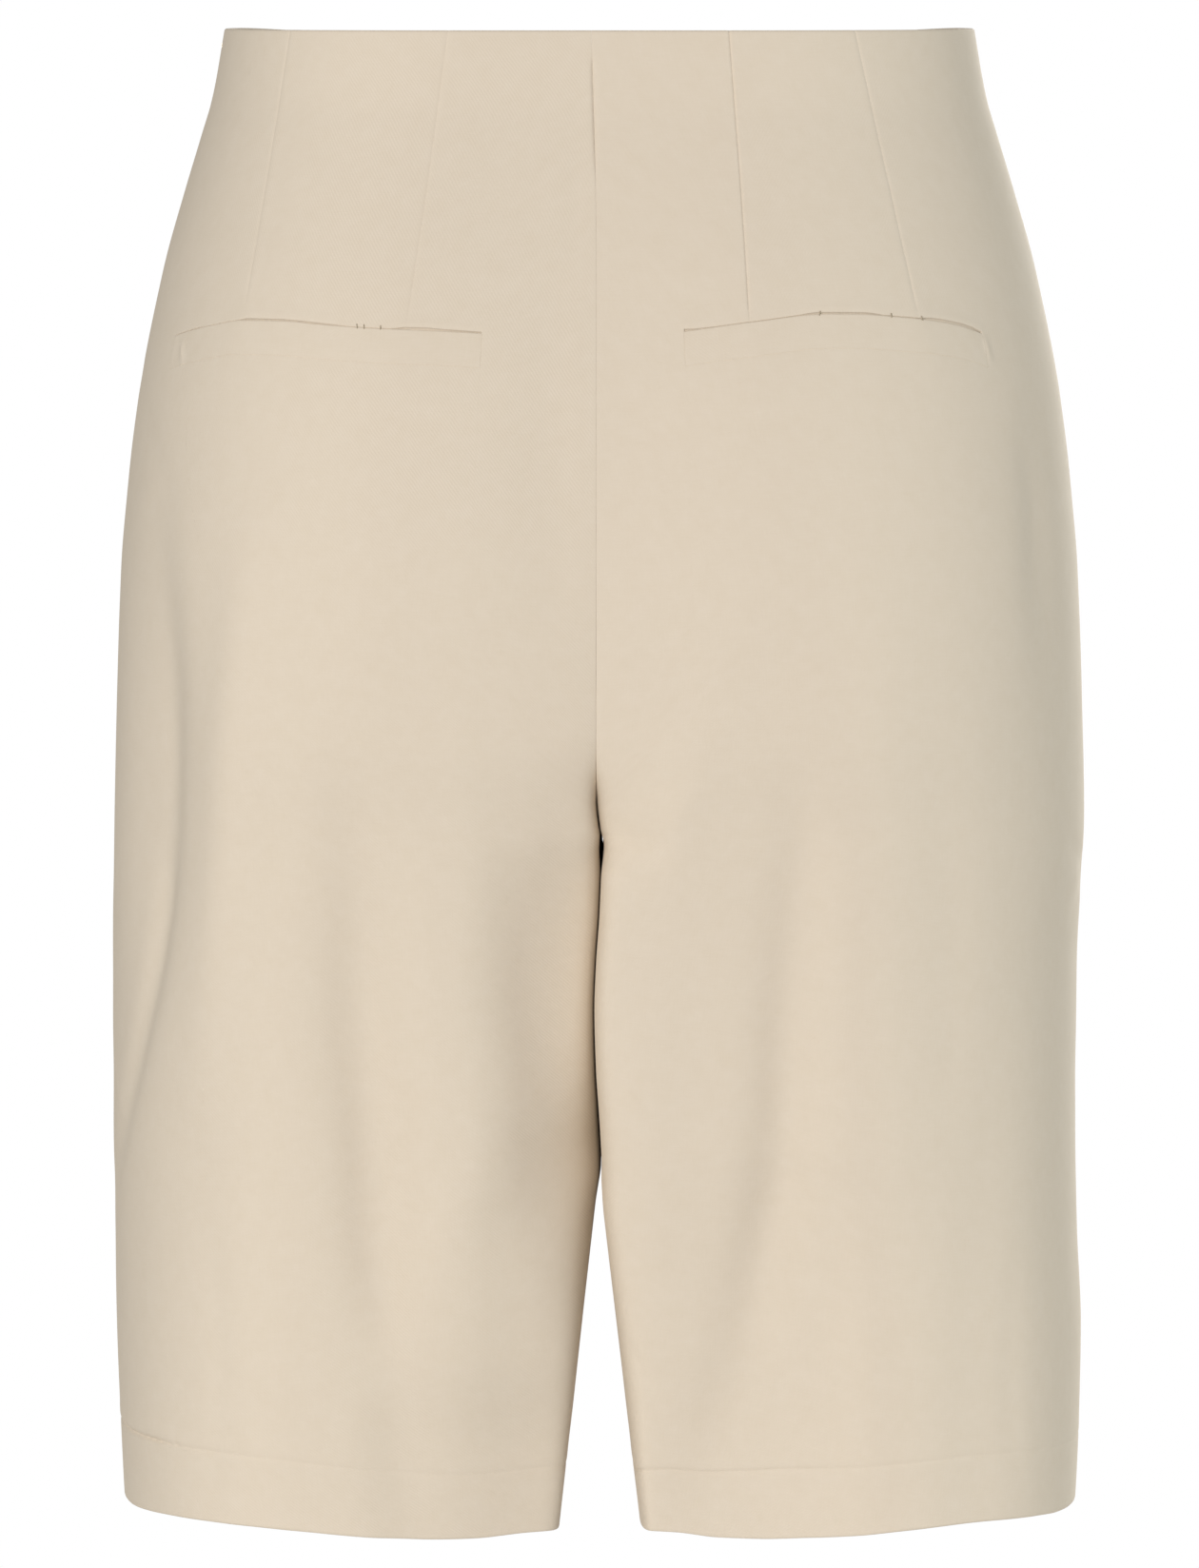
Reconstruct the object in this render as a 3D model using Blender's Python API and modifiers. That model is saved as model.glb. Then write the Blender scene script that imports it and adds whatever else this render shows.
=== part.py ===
"""High-waisted tailored bermuda shorts, filled out to the form they are worn in.

The waist opening's centre, at the top edge, is the origin. +Z is up, the wearer's front faces -Y
and the wearer's left is +X. Lengths are in metres.

Every cloth piece comes from one surface. At each height a level curve runs from the side seam
round the seat or the belly to the inner end, which is the centre seam above the crotch and the
inseam below it. A panel is a wall between that surface and a copy moved in by the cloth.
"""

import math
from collections import namedtuple

import bmesh
import bpy
import numpy as np
from mathutils import Matrix, Vector

MM = 0.001

# ---- Cloth -----------------------------------------------------------------------------------
CLOTH = 1.3 * MM  # suiting, with its press and seam allowances
TURNED_CLOTH = 2.1 * MM  # turned in once along the top edge and the hem
SEAM_GAP = 0.3 * MM  # between pieces that are sewn together
TOP_TURN = 28 * MM  # depth of the turned-in top edge
HEM_TURN = 24 * MM
TURN_STEP = 2 * MM  # height over which the wall thins from two layers to one

# ---- Cut -------------------------------------------------------------------------------------
RISE = 285 * MM  # side height from the waist to the crotch
OUTSEAM = 537 * MM
INNER_HEM_DROP = 5 * MM  # the hem is this much lower at the inseam
FRONT_WAIST_DROP = 7 * MM
MIDDLE_Y = -4 * MM  # where the widest points and the inseams lie
SIDE_SEAM_FORWARD = 28 * MM  # side seams run this far in front of the widest points
LEGS_PART_Z = -418 * MM  # the legs touch down to here
LEG_GAP_SLOPE = 0.1134  # half gap gained per metre below that
LEG_CLEARANCE = 0.4 * MM  # between each leg and the middle where they touch

# How far the line between the two halves strays towards the wearer's left, in mm, at the back
# and at the front. The centre back seam leans at the waist, and the legs lap a little.
STRAY_COLUMNS = ("z", "back", "front")
STRAY = np.array(
    [
        (-560, 0.0, 0.0),
        (-432, 0.0, 0.0),
        (-413, -0.7, -1.8),
        (-398, 0.4, -2.0),
        (-382, 1.4, -1.8),
        (-361, 2.0, -1.0),
        (-343, 1.4, -1.0),
        (-324, 0.2, -1.8),
        (-305, -0.7, -2.0),
        (-288, 0.6, -1.2),
        (-272, 1.2, 0.0),
        (-90, 1.1, 0.0),
        (-55, 1.4, 0.0),
        (-33, 2.0, 0.0),
        (-15, 2.5, 0.0),
        (0, 2.9, 0.0),
    ]
)
STRAY_BLEND = 20 * MM  # front to back, the stray changes over this distance

# Levels, in mm: height, half widths on the wearer's left and right, y of the furthest back and
# front points, x of those points, and the squareness of each leg's inner back curve.
LEVEL_COLUMNS = ("z", "left", "right", "back", "front", "crown", "square_left", "square_right")
LEVELS = np.array(
    [
        (-560, 171.4, 171.4, 106.0, -97.5, 92.0, 3.3, 4.4),
        (-530, 173.5, 173.6, 107.5, -98.5, 92.0, 3.3, 4.5),
        (-509, 174.4, 174.6, 108.5, -99.5, 91.5, 3.3, 4.7),
        (-474, 175.6, 175.2, 110.5, -101.5, 90.0, 3.4, 5.0),
        (-440, 176.3, 173.9, 113.0, -104.5, 88.0, 3.6, 5.4),
        (-400, 177.1, 173.2, 117.0, -108.0, 86.0, 3.9, 5.8),
        (-340, 177.7, 174.3, 124.0, -112.0, 81.0, 4.2, 6.0),
        (-285, 177.0, 177.0, 134.0, -115.0, 74.0, 4.4, 5.8),
        (-250, 176.2, 176.3, 141.0, -116.0, 69.0, 4.2, 5.2),
        (-197, 174.4, 174.4, 144.0, -115.0, 63.0, 3.6, 4.2),
        (-135, 168.0, 168.0, 136.0, -112.0, 56.0, 3.0, 3.0),
        (-90, 159.4, 159.4, 124.0, -108.0, 50.0, 3.0, 3.0),
        (-59, 151.0, 151.0, 113.5, -104.0, 45.0, 3.0, 3.0),
        (-38, 144.6, 144.6, 106.5, -100.5, 41.0, 3.0, 3.0),
        (-24, 140.4, 140.4, 102.5, -98.0, 38.0, 3.0, 3.0),
        (0, 136.8, 136.8, 99.0, -95.0, 35.0, 3.0, 3.0),
    ]
)
OUTER_SQUARE = {"left": 2.6, "right": 2.35, "front": 2.3}
FRONT_INNER_SQUARE = 2.8

# Between these heights a level curve's length is eased from the torso's to the leg's.
CALM_FROM = -195 * MM
CALM_TO = -370 * MM
CALM_POWER = 5

# Centre seams: where each turns under to the crotch, how roundly, and how deep it dips between
# the two halves above that.
SEAM_TURN_Z = {"back": -236 * MM, "front": -234 * MM}
SEAM_TURN_POWER = {"back": 2.6, "front": 2.4}
SEAM_DIP = {"back": 2.5 * MM, "front": 2.0 * MM}
SEAM_DIP_AT_WAIST = 0.6 * MM

# Largest folds, in mm: x and z of the upper end, middle and lower end, the reach to either side,
# and the depth, which is negative for a ridge.
Fold = namedtuple("Fold", "x0 z0 x1 z1 x2 z2 reach depth")
FOLDS = {
    "back_left": (
        Fold(157, -150, 147, -262, 170, -425, 15, 4.2),
        Fold(122, -190, 123, -360, 120, -640, 19, -1.6),
        Fold(106, -215, 97, -370, 62, -600, 13, 2.6),
        Fold(52, -250, 52, -385, 44, -540, 18, -1.5),
        Fold(39, -190, 35, -285, 12, -400, 12, 2.8),
    ),
    "back_right": (
        Fold(155, -125, 158, -175, 160, -240, 15, 1.6),
        Fold(88, -190, 90, -360, 92, -640, 20, -1.6),
        Fold(70, -250, 60, -390, 27, -530, 13, 3.0),
        Fold(22, -310, 20, -395, 26, -480, 11, -1.3),
        Fold(138, -330, 136, -440, 132, -660, 17, 1.9),
    ),
    "front_left": (
        Fold(146, -170, 138, -300, 150, -450, 15, 3.4),
        Fold(60, -185, 98, -265, 128, -345, 13, 2.2),
        Fold(44, -300, 54, -410, 50, -600, 14, 2.8),
        Fold(92, -280, 90, -420, 86, -650, 17, -1.7),
    ),
    "front_right": (
        Fold(150, -150, 144, -255, 154, -380, 15, 2.8),
        Fold(52, -200, 86, -285, 122, -375, 14, 2.5),
        Fold(48, -330, 58, -430, 56, -640, 14, 2.4),
        Fold(88, -240, 92, -400, 90, -640, 18, -1.6),
    ),
}
INSEAM_CALM = 22 * MM  # folds die out this near the inner end of a level curve

# Darts, in mm: x and z at the waist end, then x and z at the point.
Dart = namedtuple("Dart", "x0 z0 x1 z1")
DARTS = {
    "back_left": (Dart(110, 0, 126, -100), Dart(52, 0, 68, -107)),
    "back_right": (Dart(92, 0, 114, -104), Dart(48, 0, 54, -107)),
    "front_left": (Dart(84, -2, 80, -85), Dart(46, -4, 46, -60)),
    "front_right": (Dart(84, -2, 80, -82), Dart(46, -4, 46, -60)),
}
DART_DEPTH = 0.6 * MM
DART_REACH = 2.5 * MM

# ---- Pockets ---------------------------------------------------------------------------------
WELT_HEIGHT = 12 * MM
WELT_CLOTH = 1.0 * MM
WELT_X = {"left": (41 * MM, 152 * MM), "right": (31 * MM, 142 * MM)}
WELT_TOP_Z = -110 * MM  # at the two ends of the slit
WELT_ARCH = 5.5 * MM  # rise of the slit between them
BAG_X = {"left": (34 * MM, 146 * MM), "right": (24 * MM, 138 * MM)}
BAG_Z = (-98 * MM, -256 * MM)
BAG_CLOTH = 1.0 * MM  # both layers together

# ---- Zip, in the wearer's left side seam -----------------------------------------------------
ZIP_START = 3 * MM  # down from the top edge
ZIP_LENGTH = 183 * MM
ZIP_WIDTH = 24 * MM
ZIP_TAPE = 1.0 * MM
SLIDER_Z = -7 * MM
SLIDER_SIZE = (4.6 * MM, 8.0 * MM, 1.0 * MM)  # across, along the seam, off the cloth
SLIDER_BEVEL = 0.4 * MM
LUG_SIZE = (0.8 * MM, 1.6 * MM, 2.0 * MM)  # along the pin, along the seam, off the body
LUG_SUNK = 0.3 * MM  # the lugs grow out of the body from this far inside it
PIN_RADIUS = 0.4 * MM
PIN_HEIGHT = 1.35 * MM  # above the slider's body
KNUCKLE_RADIUS = 1.0 * MM
KNUCKLE_BORE = 0.7 * MM
KNUCKLE_WIDTH = 2.0 * MM
NECK_LENGTH = 2.4 * MM
TAB_WIDTH = 4.4 * MM
SHOULDER_HEIGHT = 2.0 * MM  # over which the neck widens to the tab
TAB_LENGTH = 14 * MM
TAB_THICKNESS = 0.7 * MM

# ---- Mesh ------------------------------------------------------------------------------------
TORSO_ROWS = 15
LEG_ROWS = 15
COLUMNS = {"back": 20, "front": 17}
DART_COLUMN_GAP = 0.012  # share of a level curve between a dart's own three columns
WELT_COLUMNS = 18
WELT_ROWS = 3
ZIP_ROWS = 10
ARC_POINTS = 64  # points on each quarter of a level curve
SIDE_SIGN = {"left": 1.0, "right": -1.0}

BEIGE = (0.70, 0.61, 0.49)
POCKETING = (0.62, 0.55, 0.45)
NICKEL = (0.55, 0.53, 0.50)


def smooth_step(x, start, end):
    """Rises from 0 at start to 1 at end."""
    q = np.clip((x - start) / (end - start), 0.0, 1.0)
    return q * q * (3.0 - 2.0 * q)


def through_rows(z, heights, values):
    """Reads a monotone cubic through the rows at each height z."""
    step = np.diff(heights)
    slope = np.diff(values) / step
    before, after = slope[:-1], slope[1:]
    same_way = before * after > 0
    mean = np.zeros(len(before))
    mean[same_way] = (2 * before * after)[same_way] / (before + after)[same_way]
    tangent = np.concatenate([slope[:1], mean, slope[-1:]])
    row = np.clip(np.searchsorted(heights, z) - 1, 0, len(step) - 1)
    q = np.clip((z - heights[row]) / step[row], 0.0, 1.0)
    rise = q * q * (3 - 2 * q)
    lead = q * (1 - q) ** 2 * step[row] * tangent[row]
    trail = q * q * (q - 1) * step[row] * tangent[row + 1]
    return values[row] * (1 - rise) + values[row + 1] * rise + lead + trail


def level(name, z):
    """One column of the table of levels, at each height z."""
    scale = 1.0 if name.startswith("square") else MM
    values = LEVELS[:, LEVEL_COLUMNS.index(name)] * scale
    return through_rows(z, LEVELS[:, 0] * MM, values)


def stray(y, z):
    """How far the line between the two halves lies to the wearer's left of the middle plane."""
    heights = STRAY[:, 0] * MM
    back, front = (
        through_rows(z, heights, STRAY[:, STRAY_COLUMNS.index(name)] * MM) for name in ("back", "front")
    )
    share = 0.5 + 0.5 * np.tanh((y - MIDDLE_Y) / STRAY_BLEND)
    return front + (back - front) * share


def inner_x(z):
    """Distance of the inner end of a level curve from the middle plane."""
    in_leg = smooth_step(-z, RISE, RISE + 30 * MM)
    parted = np.maximum(LEGS_PART_Z - z, 0.0)
    return SEAM_GAP / 2 + in_leg * (LEG_CLEARANCE - SEAM_GAP / 2) + LEG_GAP_SLOPE * parted


def inner_y(face, z):
    """Y of the inner end: down the centre seam, under to the crotch, then down the inseam."""
    sign = 1.0 if face == "back" else -1.0
    turn = SEAM_TURN_Z[face]
    power = SEAM_TURN_POWER[face]
    dip = SEAM_DIP_AT_WAIST + (SEAM_DIP[face] - SEAM_DIP_AT_WAIST) * smooth_step(-z, 0.0, -turn)
    reach = np.abs(level(face, z) - MIDDLE_Y) - dip
    under = np.clip((turn - z) / (turn + RISE), 0.0, 1.0)
    return MIDDLE_Y + sign * np.maximum(reach * (1 - under**power) ** (1 / power), SEAM_GAP / 2)


def level_curve(side, face, z):
    """Points of a panel's level curves, one curve for each height, from side seam to inner end."""
    z = np.atleast_1d(z)[:, None]
    quarter = np.linspace(0.0, 1.0, ARC_POINTS)[None, :]
    outer = level(side, z)
    crown = level("crown", z)
    depth = level(face, z) - MIDDLE_Y
    front_depth = level("front", z) - MIDDLE_Y
    front_power = OUTER_SQUARE["front"]
    seam_angle = np.arcsin((SIDE_SEAM_FORWARD / np.abs(front_depth)) ** (front_power / 2))

    def outer_quarter(angle, reach, power):
        x = crown + (outer - crown) * np.cos(angle).clip(0) ** (2 / power)
        return x, MIDDLE_Y + reach * np.sin(angle).clip(0) ** (2 / power)

    if face == "back":
        lead = outer_quarter(seam_angle * (1 - quarter[:, ::4]), front_depth, front_power)
        arc = outer_quarter(quarter[:, 1:] * math.pi / 2, depth, OUTER_SQUARE[side])
        xs, ys = [lead[0], arc[0]], [lead[1], arc[1]]
        power = level("square_" + side, z)
    else:
        arc = outer_quarter(seam_angle + (math.pi / 2 - seam_angle) * quarter, front_depth, front_power)
        xs, ys = [arc[0]], [arc[1]]
        power = FRONT_INNER_SQUARE

    ratio = (inner_y(face, z) - MIDDLE_Y) / depth
    inner_half = (crown - inner_x(z)) / (1 - ratio**power) ** (1 / power)
    last_angle = np.arcsin(ratio ** (power / 2))
    angle = math.pi / 2 + (last_angle - math.pi / 2) * quarter[:, 1:]
    xs.append(crown - inner_half * np.cos(angle).clip(0) ** (2 / power))
    ys.append(MIDDLE_Y + depth * np.sin(angle) ** (2 / power))
    return np.concatenate(xs, axis=1), np.concatenate(ys, axis=1)


def run_along(xs, ys):
    """Distance along each level curve from its side seam."""
    steps = np.hypot(np.diff(xs, axis=1), np.diff(ys, axis=1))
    return np.concatenate([np.zeros((len(xs), 1)), np.cumsum(steps, axis=1)], axis=1)


def place_along(side, face, z, runs, share):
    """Distance along each level curve of a share of the way to its inner end.

    A curve lengthens suddenly at the crotch. The extra is taken up beside the inner end, so that
    the lines down a panel stay smooth.
    """
    ends = np.array([CALM_FROM, CALM_TO])
    near = run_along(*level_curve(side, face, ends))[:, -1]
    blend = smooth_step(z, CALM_FROM, CALM_TO)
    steady = near[0] + (near[1] - near[0]) * blend
    length = runs[:, -1]
    steady = np.where((z < CALM_TO) | (z > CALM_FROM), length, steady)
    return steady * share + (length - steady) * share**CALM_POWER


def read_curve(values, runs, at):
    """Value on each curve at its own distance along it."""
    place = np.clip((runs < at[:, None]).sum(axis=1) - 1, 0, runs.shape[1] - 2)
    row = np.arange(len(at))
    start, end = runs[row, place], runs[row, place + 1]
    q = ((at - start) / np.maximum(end - start, 1e-12)).clip(0, 1)
    return values[row, place] * (1 - q) + values[row, place + 1] * q


def run_at_x(xs, runs, x):
    """Distance along each curve to where it passes x, between its widest point and its end."""
    at = np.empty(len(xs))
    for row in range(len(xs)):
        widest = int(np.argmax(xs[row]))
        at[row] = np.interp(-x[row], -xs[row, widest:], runs[row, widest:])
    return at


def fold_path(fold, z):
    """X of a fold's crease at each height, and how much of its depth it has there."""
    x0, z0, x1, z1, x2, z2 = (value * MM for value in fold[:6])
    x = x0 * (z - z1) * (z - z2) / ((z0 - z1) * (z0 - z2))
    x += x1 * (z - z0) * (z - z2) / ((z1 - z0) * (z1 - z2))
    x += x2 * (z - z0) * (z - z1) / ((z2 - z0) * (z2 - z1))
    along = np.clip((z - z0) / (z2 - z0), 0.0, 1.0)
    return x, np.sin(math.pi * along) ** 1.2


def dart_line(dart, z):
    """X of a dart's line at each height, and the share of the way down it that this is."""
    x0, z0, x1, z1 = (value * MM for value in dart)
    down = (z0 - z) / (z0 - z1)
    return x0 + (x1 - x0) * down.clip(0, 1), down


def relief(panel, z, xs, runs, at):
    """How far the surface stands out, or in where negative, with folds and darts."""
    out = np.zeros(len(at))
    for fold in FOLDS[panel]:
        x, strength = fold_path(fold, z)
        off = (at - run_at_x(xs, runs, x)) / (fold.reach * MM)
        out -= fold.depth * MM * strength * np.exp(-off * off)
    calm = smooth_step(runs[:, -1] - at, 0.0, INSEAM_CALM)
    out *= calm * smooth_step(at, 0.0, INSEAM_CALM / 2)
    for dart in DARTS[panel]:
        x, down = dart_line(dart, z)
        off = np.abs(at - run_at_x(xs, runs, x)) / DART_REACH
        fade = 1 - smooth_step(down, 0.7, 1.0)
        out -= DART_DEPTH * fade * np.clip(1 - off, 0.0, 1.0)
    return out


def surface(panel, z, share):
    """Points and outward normals of a panel, at heights z and shares of the way to the inner end."""
    face, side = panel.split("_")
    sign = SIDE_SIGN[side]
    shape = z.shape
    z, share = z.ravel(), share.ravel()
    probe = 0.5 * MM
    xs, ys = level_curve(side, face, z)
    runs = run_along(xs, ys)
    at = place_along(side, face, z, runs, share)
    x = read_curve(xs, runs, at)
    y = read_curve(ys, runs, at)
    tangent_x = read_curve(np.gradient(xs, axis=1) / np.gradient(runs, axis=1), runs, at)
    tangent_y = read_curve(np.gradient(ys, axis=1) / np.gradient(runs, axis=1), runs, at)
    turn = 1.0 if face == "back" else -1.0
    normal_x, normal_y = tangent_y * turn, -tangent_x * turn
    lower_xs, lower_ys = level_curve(side, face, z - probe)
    lower_runs = run_along(lower_xs, lower_ys)
    lower_at = place_along(side, face, z - probe, lower_runs, share)
    lean_x = (x - read_curve(lower_xs, lower_runs, lower_at)) / probe
    lean_y = (y - read_curve(lower_ys, lower_runs, lower_at)) / probe
    normal_z = -np.clip(lean_x * normal_x + lean_y * normal_y, -1.5, 1.5)
    normals = np.stack([normal_x, normal_y, normal_z], axis=1)
    normals /= np.linalg.norm(normals, axis=1, keepdims=True)
    out = relief(panel, z, xs, runs, at)
    points = np.stack([x, y, z], axis=1) + normals * out[:, None]
    across = np.maximum(points[:, 0], SEAM_GAP / 2)
    middle_share = 1 - np.minimum(across / level(side, z), 1.0)
    points[:, 0] = sign * across + stray(points[:, 1], z) * middle_share
    normals[:, 0] *= sign
    return points.reshape(*shape, 3), normals.reshape(*shape, 3)


def seam_heights(face, down):
    """Heights of the centre seam at equal shares of its length from the waist to the crotch."""
    z = -RISE * np.sin(np.linspace(0.0, math.pi / 2, 400))
    y = inner_y(face, z)
    runs = np.concatenate([[0.0], np.cumsum(np.hypot(np.diff(z), np.diff(y)))])
    return np.interp(down, runs / runs[-1], z)


def grid_heights(face, down, share):
    """Height of each grid point: down is 0 at the waist, 1 at the crotch and 2 at the hem."""
    torso = np.minimum(down, 1.0)[:, None]
    side_z = -RISE * torso
    seam_z = seam_heights(face, torso)
    z = side_z + (seam_z - side_z) * share**2
    if face == "front":
        z = z - FRONT_WAIST_DROP * smooth_step(share, 0.0, 1.0) * (1 - torso) ** 2
    hem = -OUTSEAM - INNER_HEM_DROP * smooth_step(share, 0.3, 1.0)
    leg = np.clip(down - 1.0, 0.0, 1.0)[:, None]
    return z + (hem + RISE) * leg


def row_places():
    """Rows of every panel, with a close pair where the turned-in top and the hem end."""
    top = TOP_TURN / RISE
    step = TURN_STEP / RISE
    leg = OUTSEAM - RISE
    hem = 2 - HEM_TURN / leg
    torso_rows = np.linspace(top + step, 1.0, TORSO_ROWS)
    leg_rows = np.linspace(1.0, hem - TURN_STEP / leg, LEG_ROWS)[1:]
    return np.concatenate([[0.0, top / 2, top], torso_rows, leg_rows, [hem, (hem + 2) / 2, 2.0]])


def wall(down):
    """Thickness of the cloth in each row: two layers in the turned-in top and in the hem."""
    turned = (down < TOP_TURN / RISE + 1e-6) | (down > 2 - HEM_TURN / (OUTSEAM - RISE) - 1e-6)
    return np.where(turned, TURNED_CLOTH, CLOTH)


def dart_share(panel, dart, z):
    """Share of the way to the inner end at which a dart's line, carried on down, crosses z."""
    face, side = panel.split("_")
    xs, ys = level_curve(side, face, z)
    runs = run_along(xs, ys)
    return run_at_x(xs, runs, dart_line(dart, z)[0]) / runs[:, -1]


def column_shares(panel, down):
    """Columns of a panel, drawn to its darts so that each dart has a column on its line."""
    face = panel.split("_")[0]
    darts = DARTS[panel]
    z = np.maximum(-RISE * np.minimum(down, 1.0), min(dart.z1 for dart in darts) * MM)
    anchors = [dart_share(panel, dart, z) for dart in darts]
    ends = [anchor[-1] for anchor in anchors]
    beside = [end + offset for end in ends for offset in (-DART_COLUMN_GAP, 0.0, DART_COLUMN_GAP)]
    clear = 2.2 * DART_COLUMN_GAP
    even = [share for share in np.linspace(0.0, 1.0, COLUMNS[face]) if min(np.abs(share - ends)) > clear]
    columns = np.array(sorted([*even, *beside]))
    rows = []
    for row in range(len(down)):
        places = [anchor[row] for anchor in anchors]
        rows.append(np.interp(columns, [0.0, *ends, 1.0], [0.0, *places, 1.0]))
    return np.array(rows)


def closed_wall(name, outer, inner, collection, material):
    """One closed body between two grids of points, the outer one facing out."""
    rows, columns = outer.shape[:2]
    mesh = bmesh.new()
    skins = []
    for grid in (outer, inner):
        skins.append([[mesh.verts.new(grid[r, c]) for c in range(columns)] for r in range(rows)])
    front, back = skins
    for r in range(rows - 1):
        for c in range(columns - 1):
            mesh.faces.new((front[r][c], front[r + 1][c], front[r + 1][c + 1], front[r][c + 1]))
            mesh.faces.new((back[r][c], back[r][c + 1], back[r + 1][c + 1], back[r + 1][c]))
    for r in range(rows - 1):
        for c in (0, columns - 1):
            mesh.faces.new((front[r][c], back[r][c], back[r + 1][c], front[r + 1][c]))
    for c in range(columns - 1):
        for r in (0, rows - 1):
            mesh.faces.new((front[r][c], front[r][c + 1], back[r][c + 1], back[r][c]))
    bmesh.ops.triangulate(mesh, faces=mesh.faces, quad_method="SHORT_EDGE")
    bmesh.ops.recalc_face_normals(mesh, faces=mesh.faces)
    data = bpy.data.meshes.new(name)
    mesh.to_mesh(data)
    mesh.free()
    piece = bpy.data.objects.new(name, data)
    data.materials.append(material)
    collection.objects.link(piece)
    return piece


def panel_grid(panel):
    """Outer points and normals of a panel, a row for each of its places down the leg."""
    down = row_places()
    share = column_shares(panel, down)
    z = grid_heights(panel.split("_")[0], down, share)
    points, normals = surface(panel, z, share)
    way = points[:, 1] - points[:, 0]
    points[:, 0] += way * (SEAM_GAP / 2) / np.linalg.norm(way, axis=1, keepdims=True)
    return points, normals


def make_panel(panel, collection, material):
    """A front or back, from waist to hem, as a wall with its top and hem turned in."""
    points, normals = panel_grid(panel)
    inner = points - normals * wall(row_places())[:, None, None]
    closed_wall(panel, points, inner, collection, material)


def make_welt(side, collection, material):
    """Strip along a pocket's slit, arched a little, lying on the back panel."""
    panel = "back_" + side
    ends_x = np.array(WELT_X[side])
    xs, ys = level_curve(side, "back", np.full(2, WELT_TOP_Z))
    runs = run_along(xs, ys)
    ends = run_at_x(xs, runs, ends_x) / runs[:, -1]
    drops = np.linspace(0.0, WELT_HEIGHT, WELT_ROWS)
    across, drop = np.meshgrid(np.linspace(0.0, 1.0, WELT_COLUMNS), drops)
    z = WELT_TOP_Z + WELT_ARCH * (1 - (2 * across - 1) ** 2) - drop
    points, normals = surface(panel, z, ends[0] + (ends[1] - ends[0]) * across)
    out = points + normals * (SEAM_GAP + WELT_CLOTH)
    near = points + normals * SEAM_GAP
    closed_wall("welt_" + side, out, near, collection, material)


def make_bag(side, collection, material):
    """Flat pocket bag, made from the back panel's own points moved in behind it."""
    points, normals = panel_grid("back_" + side)
    across = np.abs(points[:, :, 0])
    slit_row = int(np.argmin(np.abs(points[:, 0, 2] - WELT_TOP_Z)))
    columns = (across[slit_row] > BAG_X[side][0]) & (across[slit_row] < BAG_X[side][1])
    rows = (points[:, 0, 2] < BAG_Z[0]) & (points[:, 0, 2] > BAG_Z[1])
    points = points[rows][:, columns]
    normals = normals[rows][:, columns]
    depth = CLOTH + SEAM_GAP
    out = points - normals * depth
    back = points - normals * (depth + BAG_CLOTH)
    closed_wall("pocket_bag_" + side, out, back, collection, material)


def make_zip_tape(collection, material):
    """Zip tape behind the left side seam, half of it on each panel."""
    thinned = TOP_TURN + TURN_STEP
    below = np.linspace(thinned, ZIP_LENGTH, ZIP_ROWS)
    heights = -np.concatenate([[ZIP_START, TOP_TURN / 2, TOP_TURN], below])
    layers = wall(-heights / RISE)[:, None, None] + SEAM_GAP
    across = np.array([0.0, 0.5, 1.0]) * ZIP_WIDTH / 2
    outs, backs = [], []
    # The front half runs up to the seam, and the back half goes on from it.
    for panel, columns in (("front_left", slice(None, None, -1)), ("back_left", slice(1, None))):
        face, side = panel.split("_")
        xs, ys = level_curve(side, face, heights)
        length = run_along(xs, ys)[:, -1]
        z = np.repeat(heights[:, None], len(across), axis=1)
        points, normals = surface(panel, z, across[None, :] / length[:, None])
        outs.append((points - normals * layers)[:, columns])
        backs.append((points - normals * (layers + ZIP_TAPE))[:, columns])
    out, back = np.concatenate(outs, axis=1), np.concatenate(backs, axis=1)
    closed_wall("zip_tape", out, back, collection, material)


def solid(name, collection, material, size, bevel=0.0):
    """A box, centred on its own origin, with rounded edges where bevel is given."""
    bpy.ops.mesh.primitive_cube_add(size=1.0)
    piece = bpy.context.object
    piece.name = name
    piece.data.transform(Matrix.Diagonal((*size, 1.0)))
    if bevel:
        rounded = piece.modifiers.new("rounded_edges", "BEVEL")
        rounded.width = bevel
        rounded.segments = 2
    return filed(piece, collection, material)


def round_bar(name, collection, material, radius, length):
    """A cylinder along Y, centred on its own origin."""
    bpy.ops.mesh.primitive_cylinder_add(radius=radius, depth=length, vertices=20)
    piece = bpy.context.object
    piece.name = name
    piece.data.transform(Matrix.Rotation(math.pi / 2, 4, "X"))
    return filed(piece, collection, material)


def filed(piece, collection, material):
    """Gives a new piece its material and its only collection."""
    piece.data.materials.append(material)
    for other in list(piece.users_collection):
        other.objects.unlink(piece)
    collection.objects.link(piece)
    return piece


def combine(piece, tool, operation):
    """Adds a tool to a piece, or cuts it away, and hides the tool."""
    step = piece.modifiers.new(tool.name, "BOOLEAN")
    step.operation = operation
    step.solver = "EXACT"
    step.object = tool
    tool.hide_render = True
    tool.display_type = "WIRE"


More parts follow.
